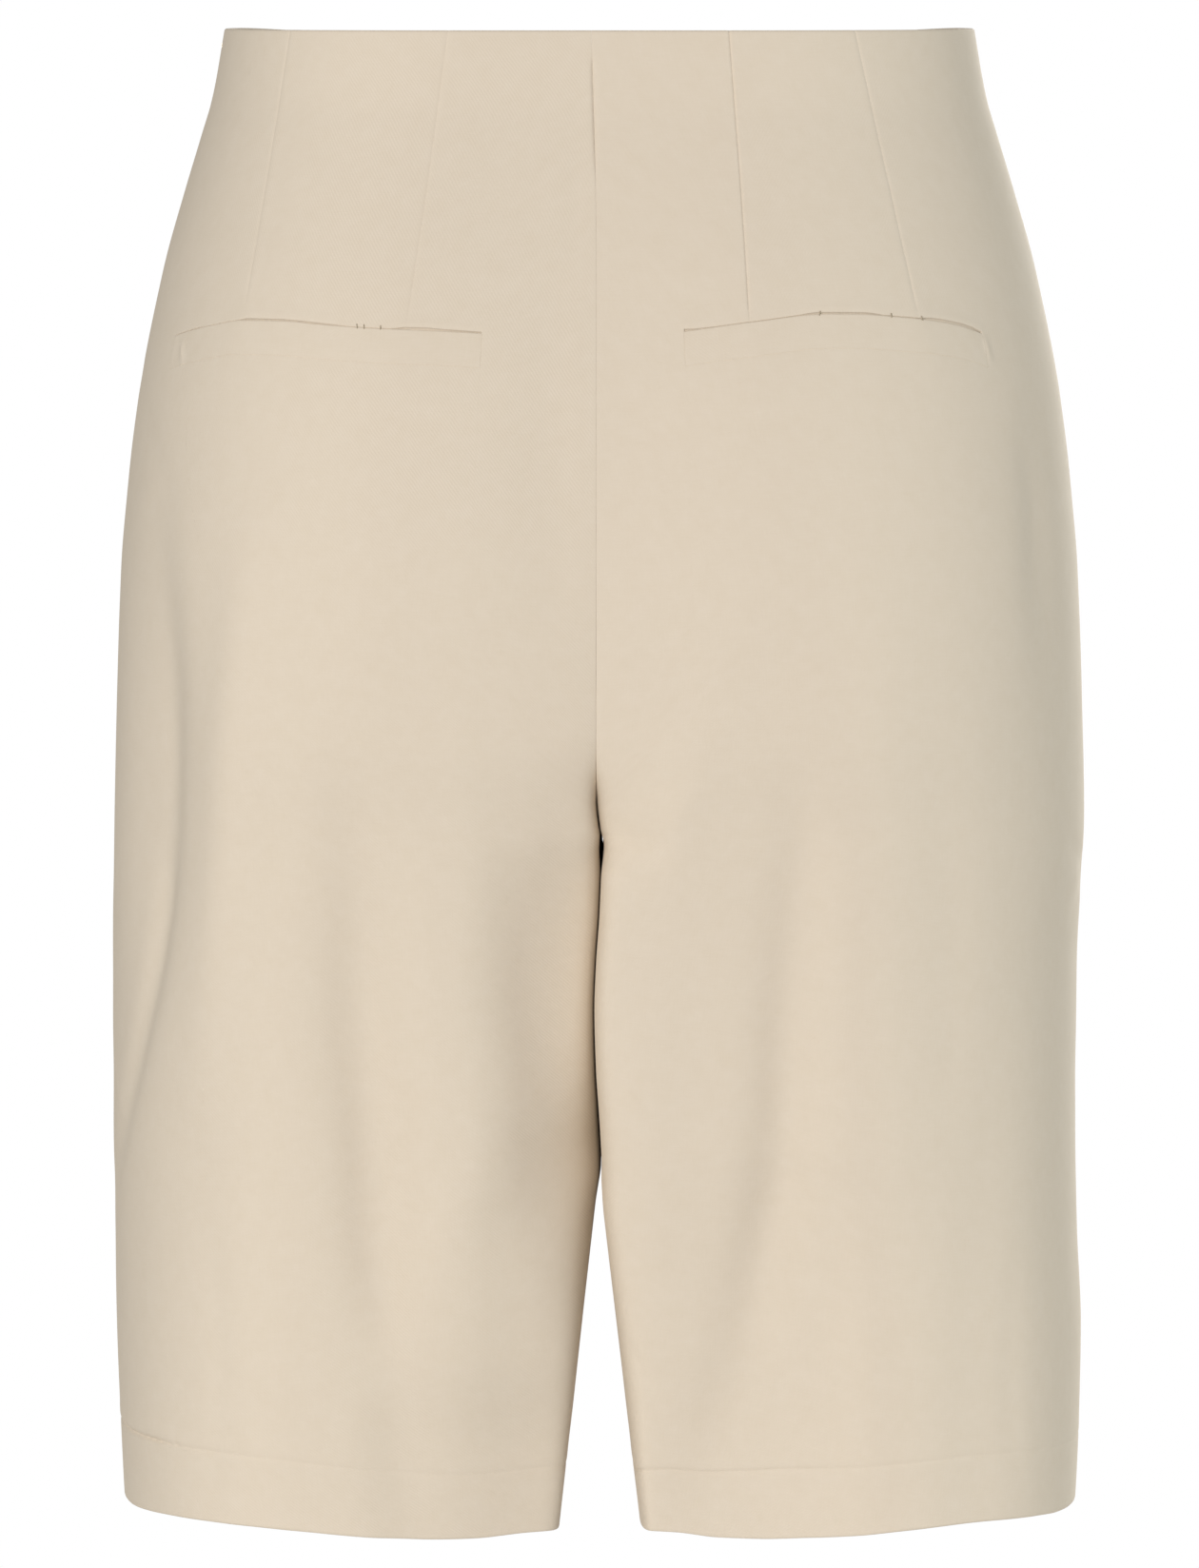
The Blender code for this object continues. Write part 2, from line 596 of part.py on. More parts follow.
def make_slider(frame, collection, tools, material):
    """Slider with a lug on either side of the pin that its pull tab swings on."""
    across, along, off = SLIDER_SIZE
    slider = solid("zip_slider", collection, material, (off, across, along), SLIDER_BEVEL)
    slider.matrix_world = frame @ Matrix.Translation((SEAM_GAP + off / 2, 0, 0))
    pin_lift = SEAM_GAP + off + PIN_HEIGHT
    spread = KNUCKLE_WIDTH / 2 + SEAM_GAP + LUG_SIZE[0] / 2
    for sign, name in ((1, "lug_back"), (-1, "lug_front")):
        lug = solid(name, tools, material, (LUG_SIZE[2] + LUG_SUNK, LUG_SIZE[0], LUG_SIZE[1]))
        lift = SEAM_GAP + off + (LUG_SIZE[2] - LUG_SUNK) / 2
        lug.matrix_world = frame @ Matrix.Translation((lift, sign * spread, 0))
        combine(slider, lug, "UNION")
    pin = round_bar("pin", tools, material, PIN_RADIUS, 2 * spread)
    pin.matrix_world = frame @ Matrix.Translation((pin_lift, 0, 0))
    combine(slider, pin, "UNION")
    return frame @ Vector((pin_lift, 0, 0))


def tab_outline():
    """Outline of the pull tab, hanging from the origin: a narrow neck and a rounded drop."""
    half_neck = KNUCKLE_WIDTH / 2
    half_tab = TAB_WIDTH / 2
    shoulder = NECK_LENGTH + SHOULDER_HEIGHT
    points = [(half_neck, 0.0), (half_neck, -NECK_LENGTH), (half_tab, -shoulder)]
    centre = -(TAB_LENGTH - half_tab)
    for step in range(9):
        angle = math.pi * step / 8
        points.append((half_tab * math.cos(angle), centre - half_tab * math.sin(angle)))
    points += [(-half_tab, -shoulder), (-half_neck, -NECK_LENGTH), (-half_neck, 0.0)]
    return points


def make_pull(frame, collection, tools, material):
    """Pull tab with the knuckle it swings on, hanging straight down."""
    curve = bpy.data.curves.new("tab_outline", "CURVE")
    curve.dimensions = "2D"
    curve.fill_mode = "BOTH"
    curve.extrude = TAB_THICKNESS / 2
    points = tab_outline()
    line = curve.splines.new("POLY")
    line.points.add(len(points) - 1)
    for point, (across, up) in zip(line.points, points):
        point.co = (across, up, 0.0, 1.0)
    line.use_cyclic_u = True
    flat = bpy.data.objects.new("tab_outline", curve)
    collection.objects.link(flat)
    data = bpy.data.meshes.new_from_object(flat)
    bpy.data.objects.remove(flat)
    pull = bpy.data.objects.new("zip_pull", data)
    # The outline's x runs along the pin, its y up and its thickness off the cloth.
    data.transform(Matrix(((0, 0, 1, 0), (1, 0, 0, 0), (0, 1, 0, 0), (0, 0, 0, 1))))
    shell = bmesh.new()
    shell.from_mesh(data)
    bmesh.ops.remove_doubles(shell, verts=shell.verts, dist=0.001 * MM)
    bmesh.ops.recalc_face_normals(shell, faces=shell.faces)
    shell.to_mesh(data)
    shell.free()
    filed(pull, collection, material)
    pull.matrix_world = frame
    knuckle = round_bar("knuckle", tools, material, KNUCKLE_RADIUS, KNUCKLE_WIDTH)
    bore = round_bar("bore", tools, material, KNUCKLE_BORE, 2 * KNUCKLE_WIDTH)
    for tool, operation in ((knuckle, "UNION"), (bore, "DIFFERENCE")):
        tool.matrix_world = frame
        combine(pull, tool, operation)


def make_zip_hardware(collection, tools, material):
    """Slider on the top of the left side seam, and its pull tab."""
    at_z = np.array([[SLIDER_Z]])
    point, normal = surface("back_left", at_z, np.zeros((1, 1)))
    origin = Vector(point[0, 0])
    outward = Vector(normal[0, 0])
    along_pin = Vector((-outward.y, outward.x, 0.0)).normalized()
    up_cloth = outward.cross(along_pin)
    axes = Matrix((outward, along_pin, up_cloth)).transposed().to_4x4()
    pin_at = make_slider(Matrix.Translation(origin) @ axes, collection, tools, material)
    level_out = along_pin.cross(Vector((0.0, 0.0, 1.0)))
    hang = Matrix((level_out, along_pin, Vector((0.0, 0.0, 1.0)))).transposed().to_4x4()
    make_pull(Matrix.Translation(pin_at) @ hang, collection, tools, material)


def finish(name, colour, roughness, metallic=0.0):
    """Principled material in a plain colour."""
    material = bpy.data.materials.new(name)
    material.use_nodes = True
    shader = material.node_tree.nodes["Principled BSDF"]
    shader.inputs["Base Color"].default_value = (*colour, 1.0)
    shader.inputs["Roughness"].default_value = roughness
    shader.inputs["Metallic"].default_value = metallic
    return material


def main():
    """Builds the shorts."""
    for old in list(bpy.data.objects):
        bpy.data.objects.remove(old)
    collection = bpy.data.collections.new("bermuda_shorts")
    bpy.context.scene.collection.children.link(collection)
    tools = bpy.data.collections.new("tools")
    bpy.context.scene.collection.children.link(tools)
    cloth = finish("suiting", BEIGE, 0.85)
    pocketing = finish("pocketing", POCKETING, 0.9)
    nickel = finish("nickel", NICKEL, 0.35, 1.0)
    for panel in ("back_left", "back_right", "front_left", "front_right"):
        make_panel(panel, collection, cloth)
    for side in SIDE_SIGN:
        make_welt(side, collection, cloth)
        make_bag(side, collection, pocketing)
    make_zip_tape(collection, pocketing)
    make_zip_hardware(collection, tools, nickel)


main()
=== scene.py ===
"""Looks of high-waisted tailored bermuda shorts, filled out to the form they are worn in.

The centre of the waist opening is the origin, +Z is up, the wearer's front faces -Y and the
wearer's left is +X. Each cloth panel is rebuilt from the garment's cut, finely enough to hold its
creases, darts, seams and turned edges, and stands for the plain solid in the frame. Lengths are
in metres, apart from the tables and fields that say they are in millimetres.
"""

import logging
import math
from dataclasses import dataclass
from enum import Enum

import bpy
import numpy as np
from bpy.types import ID, Material, Node, NodeSocket, NodeTree, Object
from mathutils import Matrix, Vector

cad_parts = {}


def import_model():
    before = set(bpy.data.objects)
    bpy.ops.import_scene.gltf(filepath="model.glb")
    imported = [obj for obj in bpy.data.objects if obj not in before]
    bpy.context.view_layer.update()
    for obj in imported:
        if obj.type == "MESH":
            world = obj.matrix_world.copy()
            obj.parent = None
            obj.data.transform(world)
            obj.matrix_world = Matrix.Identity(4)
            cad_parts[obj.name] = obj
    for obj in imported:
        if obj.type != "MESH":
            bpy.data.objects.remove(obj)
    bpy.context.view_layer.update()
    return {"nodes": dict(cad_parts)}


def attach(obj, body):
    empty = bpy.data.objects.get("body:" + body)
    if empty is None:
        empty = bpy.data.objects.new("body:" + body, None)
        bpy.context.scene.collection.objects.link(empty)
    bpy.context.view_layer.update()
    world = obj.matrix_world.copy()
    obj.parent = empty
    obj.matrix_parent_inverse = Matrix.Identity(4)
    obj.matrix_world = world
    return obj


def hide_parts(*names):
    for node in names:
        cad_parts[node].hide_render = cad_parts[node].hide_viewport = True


Array = np.ndarray
Pair = tuple[float, float]
Rows = tuple[Pair, ...]
Triple = tuple[float, float, float]
Steps = tuple[float, ...]
Weights = tuple[Array, Array, Array, Array]
MM = 0.001
log = logging.getLogger("bermuda_shorts")


class Face(Enum):
    """Front or back of the garment."""

    BACK = "back"
    FRONT = "front"


class Side(Enum):
    """The wearer's left or right, with the sign of x there."""

    LEFT = ("left", 1.0)
    RIGHT = ("right", -1.0)

    @property
    def word(self) -> str:
        """The side's name, as the frame's nodes have it."""
        return self.value[0]

    @property
    def sign(self) -> float:
        """1 on the wearer's left and -1 on the right."""
        return self.value[1]


# ---- Small helpers ----
def smooth_step(x: Array, start: float, end: float) -> Array:
    """Rises from 0 at start to 1 at end."""
    q = np.clip((x - start) / (end - start), 0.0, 1.0)
    return q * q * (3.0 - 2.0 * q)


def bell(x: Array, reach: float, middle: float = 0.0) -> Array:
    """Bell curve that is 1 at its middle and fades over a reach to either side."""
    return np.exp(-(((x - middle) / reach) ** 2))


def through_rows(z: Array, heights: Array, values: Array) -> Array:
    """Reads a monotone cubic through the rows.

    Args:
        z: Heights to read at.
        heights: Rising heights of the rows.
        values: The rows' values.

    Returns:
        A value for each z.
    """
    step = np.diff(heights)
    slope = np.diff(values) / step
    before, after = slope[:-1], slope[1:]
    same_way = before * after > 0
    mean = np.zeros(len(before))
    mean[same_way] = (2 * before * after)[same_way] / (before + after)[same_way]
    tangent = np.concatenate([slope[:1], mean, slope[-1:]])
    row = np.clip(np.searchsorted(heights, z) - 1, 0, len(step) - 1)
    q = np.clip((z - heights[row]) / step[row], 0.0, 1.0)
    rise = q * q * (3 - 2 * q)
    lead = q * (1 - q) ** 2 * step[row] * tangent[row]
    trail = q * q * (q - 1) * step[row] * tangent[row + 1]
    return values[row] * (1 - rise) + values[row + 1] * rise + lead + trail


def curve_through(points: Array, samples: int) -> Array:
    """Points along a Catmull-Rom curve through a few points.

    Args:
        points: The points that the curve passes, one a row.
        samples: How many points to return.

    Returns:
        Points evenly spaced in the curve's own parameter.
    """
    ends = np.vstack([2 * points[0] - points[1], points, 2 * points[-1] - points[-2]])
    at = np.linspace(0.0, len(points) - 1.0, samples)
    k = np.minimum(at.astype(int), len(points) - 2)
    t = (at - k)[:, None]
    a, b, c, d = (ends[k + i] for i in range(4))
    square, cube = 2 * a - 5 * b + 4 * c - d, 3 * (b - c) + d - a
    return 0.5 * (2 * b + (c - a) * t + square * t**2 + cube * t**3)


def filled(fixed: list[float], step: float, length: float = 1.0) -> Array:
    """Sorts marks and fills the stretches between them evenly, to an odd count.

    Args:
        fixed: The marks, which all stay.
        step: Usual distance between two marks.
        length: Length of the whole, where the marks are shares of it.

    Returns:
        All the marks, in order.
    """
    fixed = np.array(sorted(fixed))
    marks = [fixed]
    for start, end in zip(fixed[:-1], fixed[1:]):
        extra = int(round((end - start) * length / step)) - 1
        if extra > 0:
            marks.append(np.linspace(start, end, extra + 2)[1:-1])
    marks = np.sort(np.concatenate(marks))
    if len(marks) % 2 == 0:
        widest = int(np.argmax(np.diff(marks)))
        marks = np.insert(marks, widest + 1, (marks[widest] + marks[widest + 1]) / 2)
    return marks


def linear(hex_colour: str) -> tuple[float, float, float, float]:
    """Turns an sRGB hex colour into linear red, green, blue and alpha.

    Args:
        hex_colour: A # and six digits.

    Returns:
        The four channels, from 0 to 1.
    """
    channels = []
    for i in (1, 3, 5):
        value = int(hex_colour[i : i + 2], 16) / 255
        channels.append(value / 12.92 if value <= 0.04045 else ((value + 0.055) / 1.055) ** 2.4)
    return (*channels, 1.0)


def add_node(tree: NodeTree, kind: str, inputs: dict | None = None, **settings) -> Node:
    """Adds a node, sets it up and links what feeds it.

    Args:
        tree: The material's or world's node tree.
        kind: The node's type.
        inputs: For each input, by name or number, a socket to link or a value to set.
        settings: The node's own properties.

    Returns:
        The new node.
    """
    node = tree.nodes.new(kind)
    for name, value in settings.items():
        setattr(node, name, value)
    feed(tree, node, inputs or {})
    return node


def feed(tree: NodeTree, node: Node, inputs: dict) -> None:
    """Links sockets to a node's inputs, or sets the inputs to values.

    Args:
        tree: The material's or world's node tree.
        node: The node.
        inputs: For each input, by name or number, a socket to link or a value to set.
    """
    for name, value in inputs.items():
        if isinstance(value, NodeSocket):
            tree.links.new(value, node.inputs[name])
        else:
            node.inputs[name].default_value = value


def new_material(name: str) -> tuple[Material, NodeTree, Node]:
    """Makes a material that has a Principled shader.

    Args:
        name: Its name.

    Returns:
        The material, its node tree and its shader.
    """
    material = bpy.data.materials.new(name)
    material.use_nodes = True
    tree = material.node_tree
    return material, tree, tree.nodes["Principled BSDF"]


# ---- Finishes ----
@dataclass(frozen=True)
class TwillSuiting:
    """Fine twill suiting in wool and polyester, piece-dyed and pressed.

    Piece dyeing gives one even beige, pressing a smooth matt face, and the mixed fibres a slight
    heather. Its 0.4 mm threads are too fine to show, so the twill is drawn at twice that.
    """

    colour: str = "#dfd3c3"
    heather: str = "#dbcebc"
    roughness: float = 0.86
    ior: float = 1.46
    specular: float = 0.3
    sheen: float = 0.15
    sheen_roughness: float = 0.45
    twill_mm: float = 0.9
    threads_per_mm: float = 1.9
    thread_stretch: float = 0.09
    slub_mm: float = 5.0
    mottle_mm: float = 9.0
    tones: Pair = (1.35, 2.65)
    bump: float = 0.35
    bump_mm: float = 0.05

    def make(self) -> Material:
        """Builds the material.

        Returns:
            The new material.
        """
        material, tree, shader = new_material("twill_suiting")
        uv = add_node(tree, "ShaderNodeUVMap", uv_map="cloth").outputs["UV"]
        in_mm = add_node(tree, "ShaderNodeVectorMath", {0: uv, 1: (1000.0,) * 3}, operation="MULTIPLY")
        place = in_mm.outputs["Vector"]
        # A wave texture of scale 1 turns by 10 radians for each unit of x + y.
        wave = {
            "Vector": place,
            "Scale": 2 * math.pi / (10 * math.sqrt(2) * self.twill_mm),
            "Distortion": 1.2,
            "Detail": 1.0,
            "Detail Scale": 0.6,
        }
        twill = add_node(tree, "ShaderNodeTexWave", wave, bands_direction="DIAGONAL").outputs["Fac"]
        threads = []
        for stretch in ((1.0, self.thread_stretch, 1.0), (self.thread_stretch, 1.0, 1.0)):
            along = add_node(tree, "ShaderNodeVectorMath", {0: place, 1: stretch}, operation="MULTIPLY")
            noise = {"Vector": along.outputs["Vector"], "Scale": self.threads_per_mm, "Detail": 2.0}
            threads.append(add_node(tree, "ShaderNodeTexNoise", noise).outputs["Fac"])
        cross = add_node(tree, "ShaderNodeMath", dict(enumerate(threads)), operation="ADD").outputs[0]
        tone = cross
        for size, detail in ((self.slub_mm, 4.0), (self.mottle_mm, 2.0)):
            noise = {"Vector": place, "Scale": 1 / size, "Detail": detail}
            spots = add_node(tree, "ShaderNodeTexNoise", noise).outputs["Fac"]
            tone = add_node(tree, "ShaderNodeMath", {0: tone, 1: spots}, operation="ADD").outputs[0]
        spread = {"Value": tone, "From Min": self.tones[0], "From Max": self.tones[1]}
        share = add_node(tree, "ShaderNodeMapRange", spread).outputs["Result"]
        colours = {"Factor": share, "A": linear(self.colour), "B": linear(self.heather)}
        weave = add_node(tree, "ShaderNodeMath", {0: twill, 1: cross}, operation="ADD").outputs[0]
        raised = {"Height": weave, "Strength": self.bump, "Distance": self.bump_mm * MM}
        inputs = {
            "Base Color": add_node(tree, "ShaderNodeMix", colours, data_type="RGBA").outputs["Result"],
            "Normal": add_node(tree, "ShaderNodeBump", raised).outputs["Normal"],
            "Roughness": self.roughness,
            "IOR": self.ior,
            "Specular IOR Level": self.specular,
            "Sheen Weight": self.sheen,
            "Sheen Roughness": self.sheen_roughness,
            "Sheen Tint": linear(self.colour),
        }
        feed(tree, shader, inputs)
        return material


@dataclass(frozen=True)
class PlainPocketing:
    """Plain-woven polyester and cotton pocketing, also the zip's tape.

    Each thread passes over one and under the next, so it looks closer and flatter than suiting.
    Its 0.3 mm threads are too fine to show, so they are drawn nearly three times as wide.
    """

    colour: str = "#cabda6"
    thread_mm: float = 0.8
    roughness: float = 0.8
    ior: float = 1.5
    bump: float = 0.4
    bump_mm: float = 0.06

    def make(self) -> Material:
        """Builds the material.

        Returns:
            The new material.
        """
        material, tree, shader = new_material("plain_pocketing")
        uv = add_node(tree, "ShaderNodeUVMap", uv_map="cloth").outputs["UV"]
        in_mm = add_node(tree, "ShaderNodeVectorMath", {0: uv, 1: (1000.0,) * 3}, operation="MULTIPLY")
        # A wave texture of scale 1 turns by 20 radians for each unit along an axis.
        wave = {"Vector": in_mm.outputs["Vector"], "Scale": 2 * math.pi / (20 * self.thread_mm)}
        waves = [
            add_node(tree, "ShaderNodeTexWave", wave, bands_direction=direction).outputs["Fac"]
            for direction in ("X", "Y")
        ]
        weave = add_node(tree, "ShaderNodeMath", dict(enumerate(waves)), operation="MULTIPLY").outputs[0]
        raised = {"Height": weave, "Strength": self.bump, "Distance": self.bump_mm * MM}
        inputs = {
            "Base Color": linear(self.colour),
            "Normal": add_node(tree, "ShaderNodeBump", raised).outputs["Normal"],
            "Roughness": self.roughness,
            "IOR": self.ior,
        }
        feed(tree, shader, inputs)
        return material


@dataclass(frozen=True)
class NickelPlate:
    """Satin nickel plate on die-cast zinc. Tumbling leaves a warm grey with a soft, broad gloss."""

    colour: str = "#b9b3a6"
    roughness: float = 0.34
    grain_mm: float = 0.35
    bump: float = 0.12
    bump_mm: float = 0.02

    def make(self) -> Material:
        """Builds the material.

        Returns:
            The new material.
        """
        material, tree, shader = new_material("nickel_plate")
        place = add_node(tree, "ShaderNodeTexCoord").outputs["Object"]
        noise = {"Vector": place, "Scale": 1 / (self.grain_mm * MM)}
        grain = add_node(tree, "ShaderNodeTexNoise", noise).outputs["Fac"]
        raised = {"Height": grain, "Strength": self.bump, "Distance": self.bump_mm * MM}
        inputs = {
            "Base Color": linear(self.colour),
            "Normal": add_node(tree, "ShaderNodeBump", raised).outputs["Normal"],
            "Metallic": 1.0,
            "Roughness": self.roughness,
        }
        feed(tree, shader, inputs)
        return material


@dataclass(frozen=True)
class SewingThread:
    """Spun polyester sewing thread. A dull twisted strand, a little darker than the cloth."""

    name: str = "sewing_thread"
    colour: str = "#a2957f"
    twist_mm: float = 0.5
    roughness: float = 0.7
    bump: float = 0.5
    bump_mm: float = 0.05

    def make(self) -> Material:
        """Builds the material.

        Returns:
            The new material.
        """
        material, tree, shader = new_material(self.name)
        place = add_node(tree, "ShaderNodeTexCoord").outputs["Object"]
        # A wave texture of scale 1 turns by 10 radians for each unit of x + y + z.
        wave = {"Vector": place, "Scale": 2 * math.pi / (10 * math.sqrt(2) * self.twist_mm * MM)}
        twist = add_node(tree, "ShaderNodeTexWave", wave, bands_direction="DIAGONAL").outputs["Fac"]
        raised = {"Height": twist, "Strength": self.bump, "Distance": self.bump_mm * MM}
        inputs = {
            "Base Color": linear(self.colour),
            "Normal": add_node(tree, "ShaderNodeBump", raised).outputs["Normal"],
            "Roughness": self.roughness,
        }
        feed(tree, shader, inputs)
        return material


# ---- The cut ----
class Table:
    """Rows of a height and values in mm, with a name for each column.

    Args:
        columns: The columns' names. The first one is the height.
        rows: The rows, upwards.
    """

    def __init__(self, columns: str, rows: tuple[Steps, ...]) -> None:
        """Keeps the names and the rows."""
        self.columns = columns.split()
        self.rows = np.array(rows, dtype=float)

    def read(self, column: str, z: Array, unit: float = MM) -> Array:
        """Reads a column at each height z, smoothly between the rows."""
        values = self.rows[:, self.columns.index(column)]
        return through_rows(z, self.rows[:, 0] * MM, values * unit)


# Levels, in mm: height, half widths on the wearer's left and right, y of the furthest back and
# front points, x of those points, and the squareness of each leg's inner back curve.
LEVELS = Table(
    "z left right back front crown square_left square_right",
    (
        (-560, 172.4, 172.8, 97.5, -97.5, 98, 34, 30),
        (-530, 174.5, 175, 101.5, -98.5, 98, 30, 28),
        (-509, 175.5, 175.9, 104.8, -99.5, 97, 24, 22),
        (-474, 176.6, 176.3, 110, -101.5, 95, 15, 17),
        (-440, 177.2, 175, 113, -104.5, 91, 9, 18),
        (-400, 177.8, 174.2, 117, -108, 86, 8, 20),
        (-340, 177.9, 174.6, 124, -112, 81, 25, 25),
        (-285, 177, 177, 134, -115, 74, 25, 25),
        (-250, 176.2, 176.3, 141, -116, 69, 15, 15),
        (-197, 174.4, 174.4, 144, -115, 63, 4.6, 5.4),
        (-135, 168, 168, 136, -112, 56, 3, 3),
        (-90, 159.4, 159.4, 124, -108, 50, 3, 3),
        (-59, 151, 151, 113.5, -104, 45, 3, 3),
        (-38, 144.6, 144.6, 106.5, -100.5, 41, 3, 3),
        (-24, 140.4, 140.4, 102.5, -98, 38, 3, 3),
        (0, 136.1, 136.1, 99, -95, 35, 3, 3),
    ),
)

# How far the line between the two halves strays towards the wearer's left, in mm, at the back
# and at the front. The centre back seam leans at the waist, and the legs lap a little.
STRAY = Table(
    "z back front",
    (
        (-560, 0, 0),
        (-425, 0, 0),
        (-407, -0.7, -1.6),
        (-397, -0.3, -2),
        (-387, 0.3, -1.8),
        (-371, 1.35, -1.4),
        (-350, 1.9, -1),
        (-333, 1.3, -1.4),
        (-314, 0, -2),
        (-294, -0.7, -1.6),
        (-289, -0.8, -1.3),
        (-282, 0.2, -0.8),
        (-274, 1, -0.3),
        (-262, 1.2, 0),
        (-90, 1.1, 0),
        (-55, 1.4, 0),
        (-33, 2, 0),
        (-15, 2.5, 0),
        (0, 2.9, 0),
    ),
)

# How far the hem lies above a level cut, in mm, by share of the way from the side seam to the
# inseam.
HEM_RISE = {
    (Face.BACK, Side.LEFT): (
        (0, 0), (0.2, -0.3), (0.28, 0.4), (0.34, 1), (0.385, 1.1), (0.45, 0.8), (0.51, -0.4), (0.56, -1.9),
        (0.61, -3.5), (0.67, -4.7), (0.72, -4.8), (0.785, -3.6), (0.83, -3.3), (0.9, -3.2), (1, -3),
    ),
    (Face.BACK, Side.RIGHT): (
        (0, 0), (0.2, -0.8), (0.25, -0.6), (0.305, 0.2), (0.395, 0.9), (0.46, 0.5), (0.51, -0.3),
        (0.57, -2.5), (0.62, -4.3), (0.68, -5.6), (0.73, -5), (0.785, -2.4), (0.83, -1.6), (1, -3),
    ),
    (Face.FRONT, Side.LEFT): ((0, 0), (0.35, -0.2), (0.7, -2), (1, -3)),
    (Face.FRONT, Side.RIGHT): ((0, 0), (0.4, -0.1), (0.7, -1.8), (1, -3)),
}

# How far the back sinks in between the seat's two halves and at the legs' inner corners, in mm,
# on the wearer's left and right, and how wide that is. The left leg sinks in more.
HOLLOW = Table(
    "z left right reach_left reach_right",
    (
        (-560, 28, 12, 97, 84),
        (-509, 27, 11, 95, 80),
        (-474, 19, 8.5, 80, 72),
        (-440, 15, 6, 64, 64),
        (-400, 21.5, 3, 49, 46),
        (-370, 20, 1.6, 47, 36),
        (-340, 19.5, 1.5, 50, 30),
        (-310, 18.5, 3, 50, 30),
        (-296, 16, 6, 50, 30),
        (-285, 12.5, 12.5, 50, 30),
        (-262, 9.5, 9.5, 50, 40),
        (-235, 7.5, 7.5, 52, 54),
        (-205, 7, 7, 56, 60),
        (-175, 6.5, 6.5, 56, 60),
        (-140, 5.5, 5.5, 56, 60),
        (-100, 4, 4, 52, 56),
        (-70, 2.2, 2.2, 50, 50),
        (-45, 0.8, 0.8, 50, 50),
        (-20, 0, 0, 50, 50),
        (0, 0, 0, 50, 50),
    ),
)


@dataclass(frozen=True)
class Cut:
    """Sizes that the garment is cut and sewn to.

    Attributes:
        rise: Depth of the crotch below the waist.
        outseam: Length of the side seam.
        front_drop: How much lower the front's top edge is at its middle.
        top_turn: Depth of the turned-in top edge.
        hem_turn: Depth of the hem's turning.
        middle_y: y of the plane between the front's and the back's level curves.
        side_forward: How far in front of that plane the side seams run.
        stray_blend: Half the depth over which the halves' line passes from back to front.
        legs_part_z: Height below which the legs part.
        leg_gap_slope: Half gap that they gain for each length further down.
        leg_clearance: Half gap between them above that height.
        clearance_ends: Depths below the crotch at which that half gap starts and is full.
        sliver: Half width of the small opening just below the crotch.
        sliver_z: Length of one unit of its depths.
        sliver_opens: Depths below the crotch between which it opens.
        sliver_closes: Depths below the crotch between which it closes.
        half_seam: Half gap between two panels at a centre seam.
        outer_square_left: Squareness of the left back's outer curve.
        outer_square_right: The same of the right back.
        outer_square_front: The same of both fronts.
        inner_square_front: Squareness of the fronts' inner curve.
        corner_from: Height below which a column keeps to the visible inner corner.
        corner_x: How far from the inner end that column lies.
        corner_share: Its share of the way from the side seam.
        cloth: Thickness of the cloth.
        turned_cloth: Thickness where it is turned in.
    """

    rise: float = 285 * MM
    outseam: float = 537 * MM
    front_drop: float = 7 * MM
    top_turn: float = 28 * MM
    hem_turn: float = 24 * MM
    middle_y: float = -4 * MM
    side_forward: float = 28 * MM
    stray_blend: float = 20 * MM
    legs_part_z: float = -412 * MM
    leg_gap_slope: float = 0.1134
    leg_clearance: float = 0.06 * MM
    clearance_ends: Pair = (16 * MM, 80 * MM)
    sliver: float = 0.75 * MM
    sliver_z: float = 7 * MM
    sliver_opens: Pair = (0.0, 0.6)
    sliver_closes: Pair = (0.8, 2.4)
    half_seam: float = 0.006 * MM
    outer_square_left: float = 2.2
    outer_square_right: float = 2.05
    outer_square_front: float = 2.3
    inner_square_front: float = 2.8
    corner_from: float = -200 * MM
    corner_x: float = 6 * MM
    corner_share: float = 0.8
    cloth: float = 0.9 * MM
    turned_cloth: float = 1.9 * MM

    @property
    def leg(self) -> float:
        """Length of a leg below the crotch, at its side."""
        return self.outseam - self.rise

    def level(self, name: str, z: Array) -> Array:
        """Reads a column of the table of levels at each height z."""
        return LEVELS.read(name, z, 1.0 if name.startswith("square") else MM)

    def stray(self, y: Array, z: Array) -> Array:
        """How far the line between the halves lies to the wearer's left of the middle plane.

        Args:
            y: y of each place.
            z: Heights.

        Returns:
            A distance for each place.
        """
        back, front = STRAY.read("back", z), STRAY.read("front", z)
        share = 0.5 + 0.5 * np.tanh((y - self.middle_y) / self.stray_blend)
        return front + (back - front) * share

    def inner_x(self, z: Array) -> Array:
        """Distance of the inner end of a level curve from the middle plane.

        Args:
            z: Heights.

        Returns:
            A distance for each height.
        """
        in_leg = smooth_step(-z - self.rise, *self.clearance_ends)
        parted = np.maximum(self.legs_part_z - z, 0.0)
        gap = self.half_seam + in_leg * (self.leg_clearance - self.half_seam)
        below = (-z - self.rise) / self.sliver_z
        opened = smooth_step(below, *self.sliver_opens)
        closed = smooth_step(below, *self.sliver_closes)
        return gap + self.leg_gap_slope * parted + self.sliver * opened * (1 - closed)


@dataclass(frozen=True)
class SeamRun:
    """How a centre seam turns under to the crotch, and how deep it dips between the two halves.

    Attributes:
        turn_z: Height at which it starts to turn under.
        power: Squareness of that turn.
        dip: Depth of the dip from there down.
        dip_at_waist: Depth of the dip at the waist.
    """

    turn_z: float
    power: float
    dip: float
    dip_at_waist: float = 0.6 * MM


CENTRE_SEAMS = {
    Face.BACK: SeamRun(-240 * MM, 3.6, 1.3 * MM),
    Face.FRONT: SeamRun(-234 * MM, 2.4, 2.0 * MM),
}


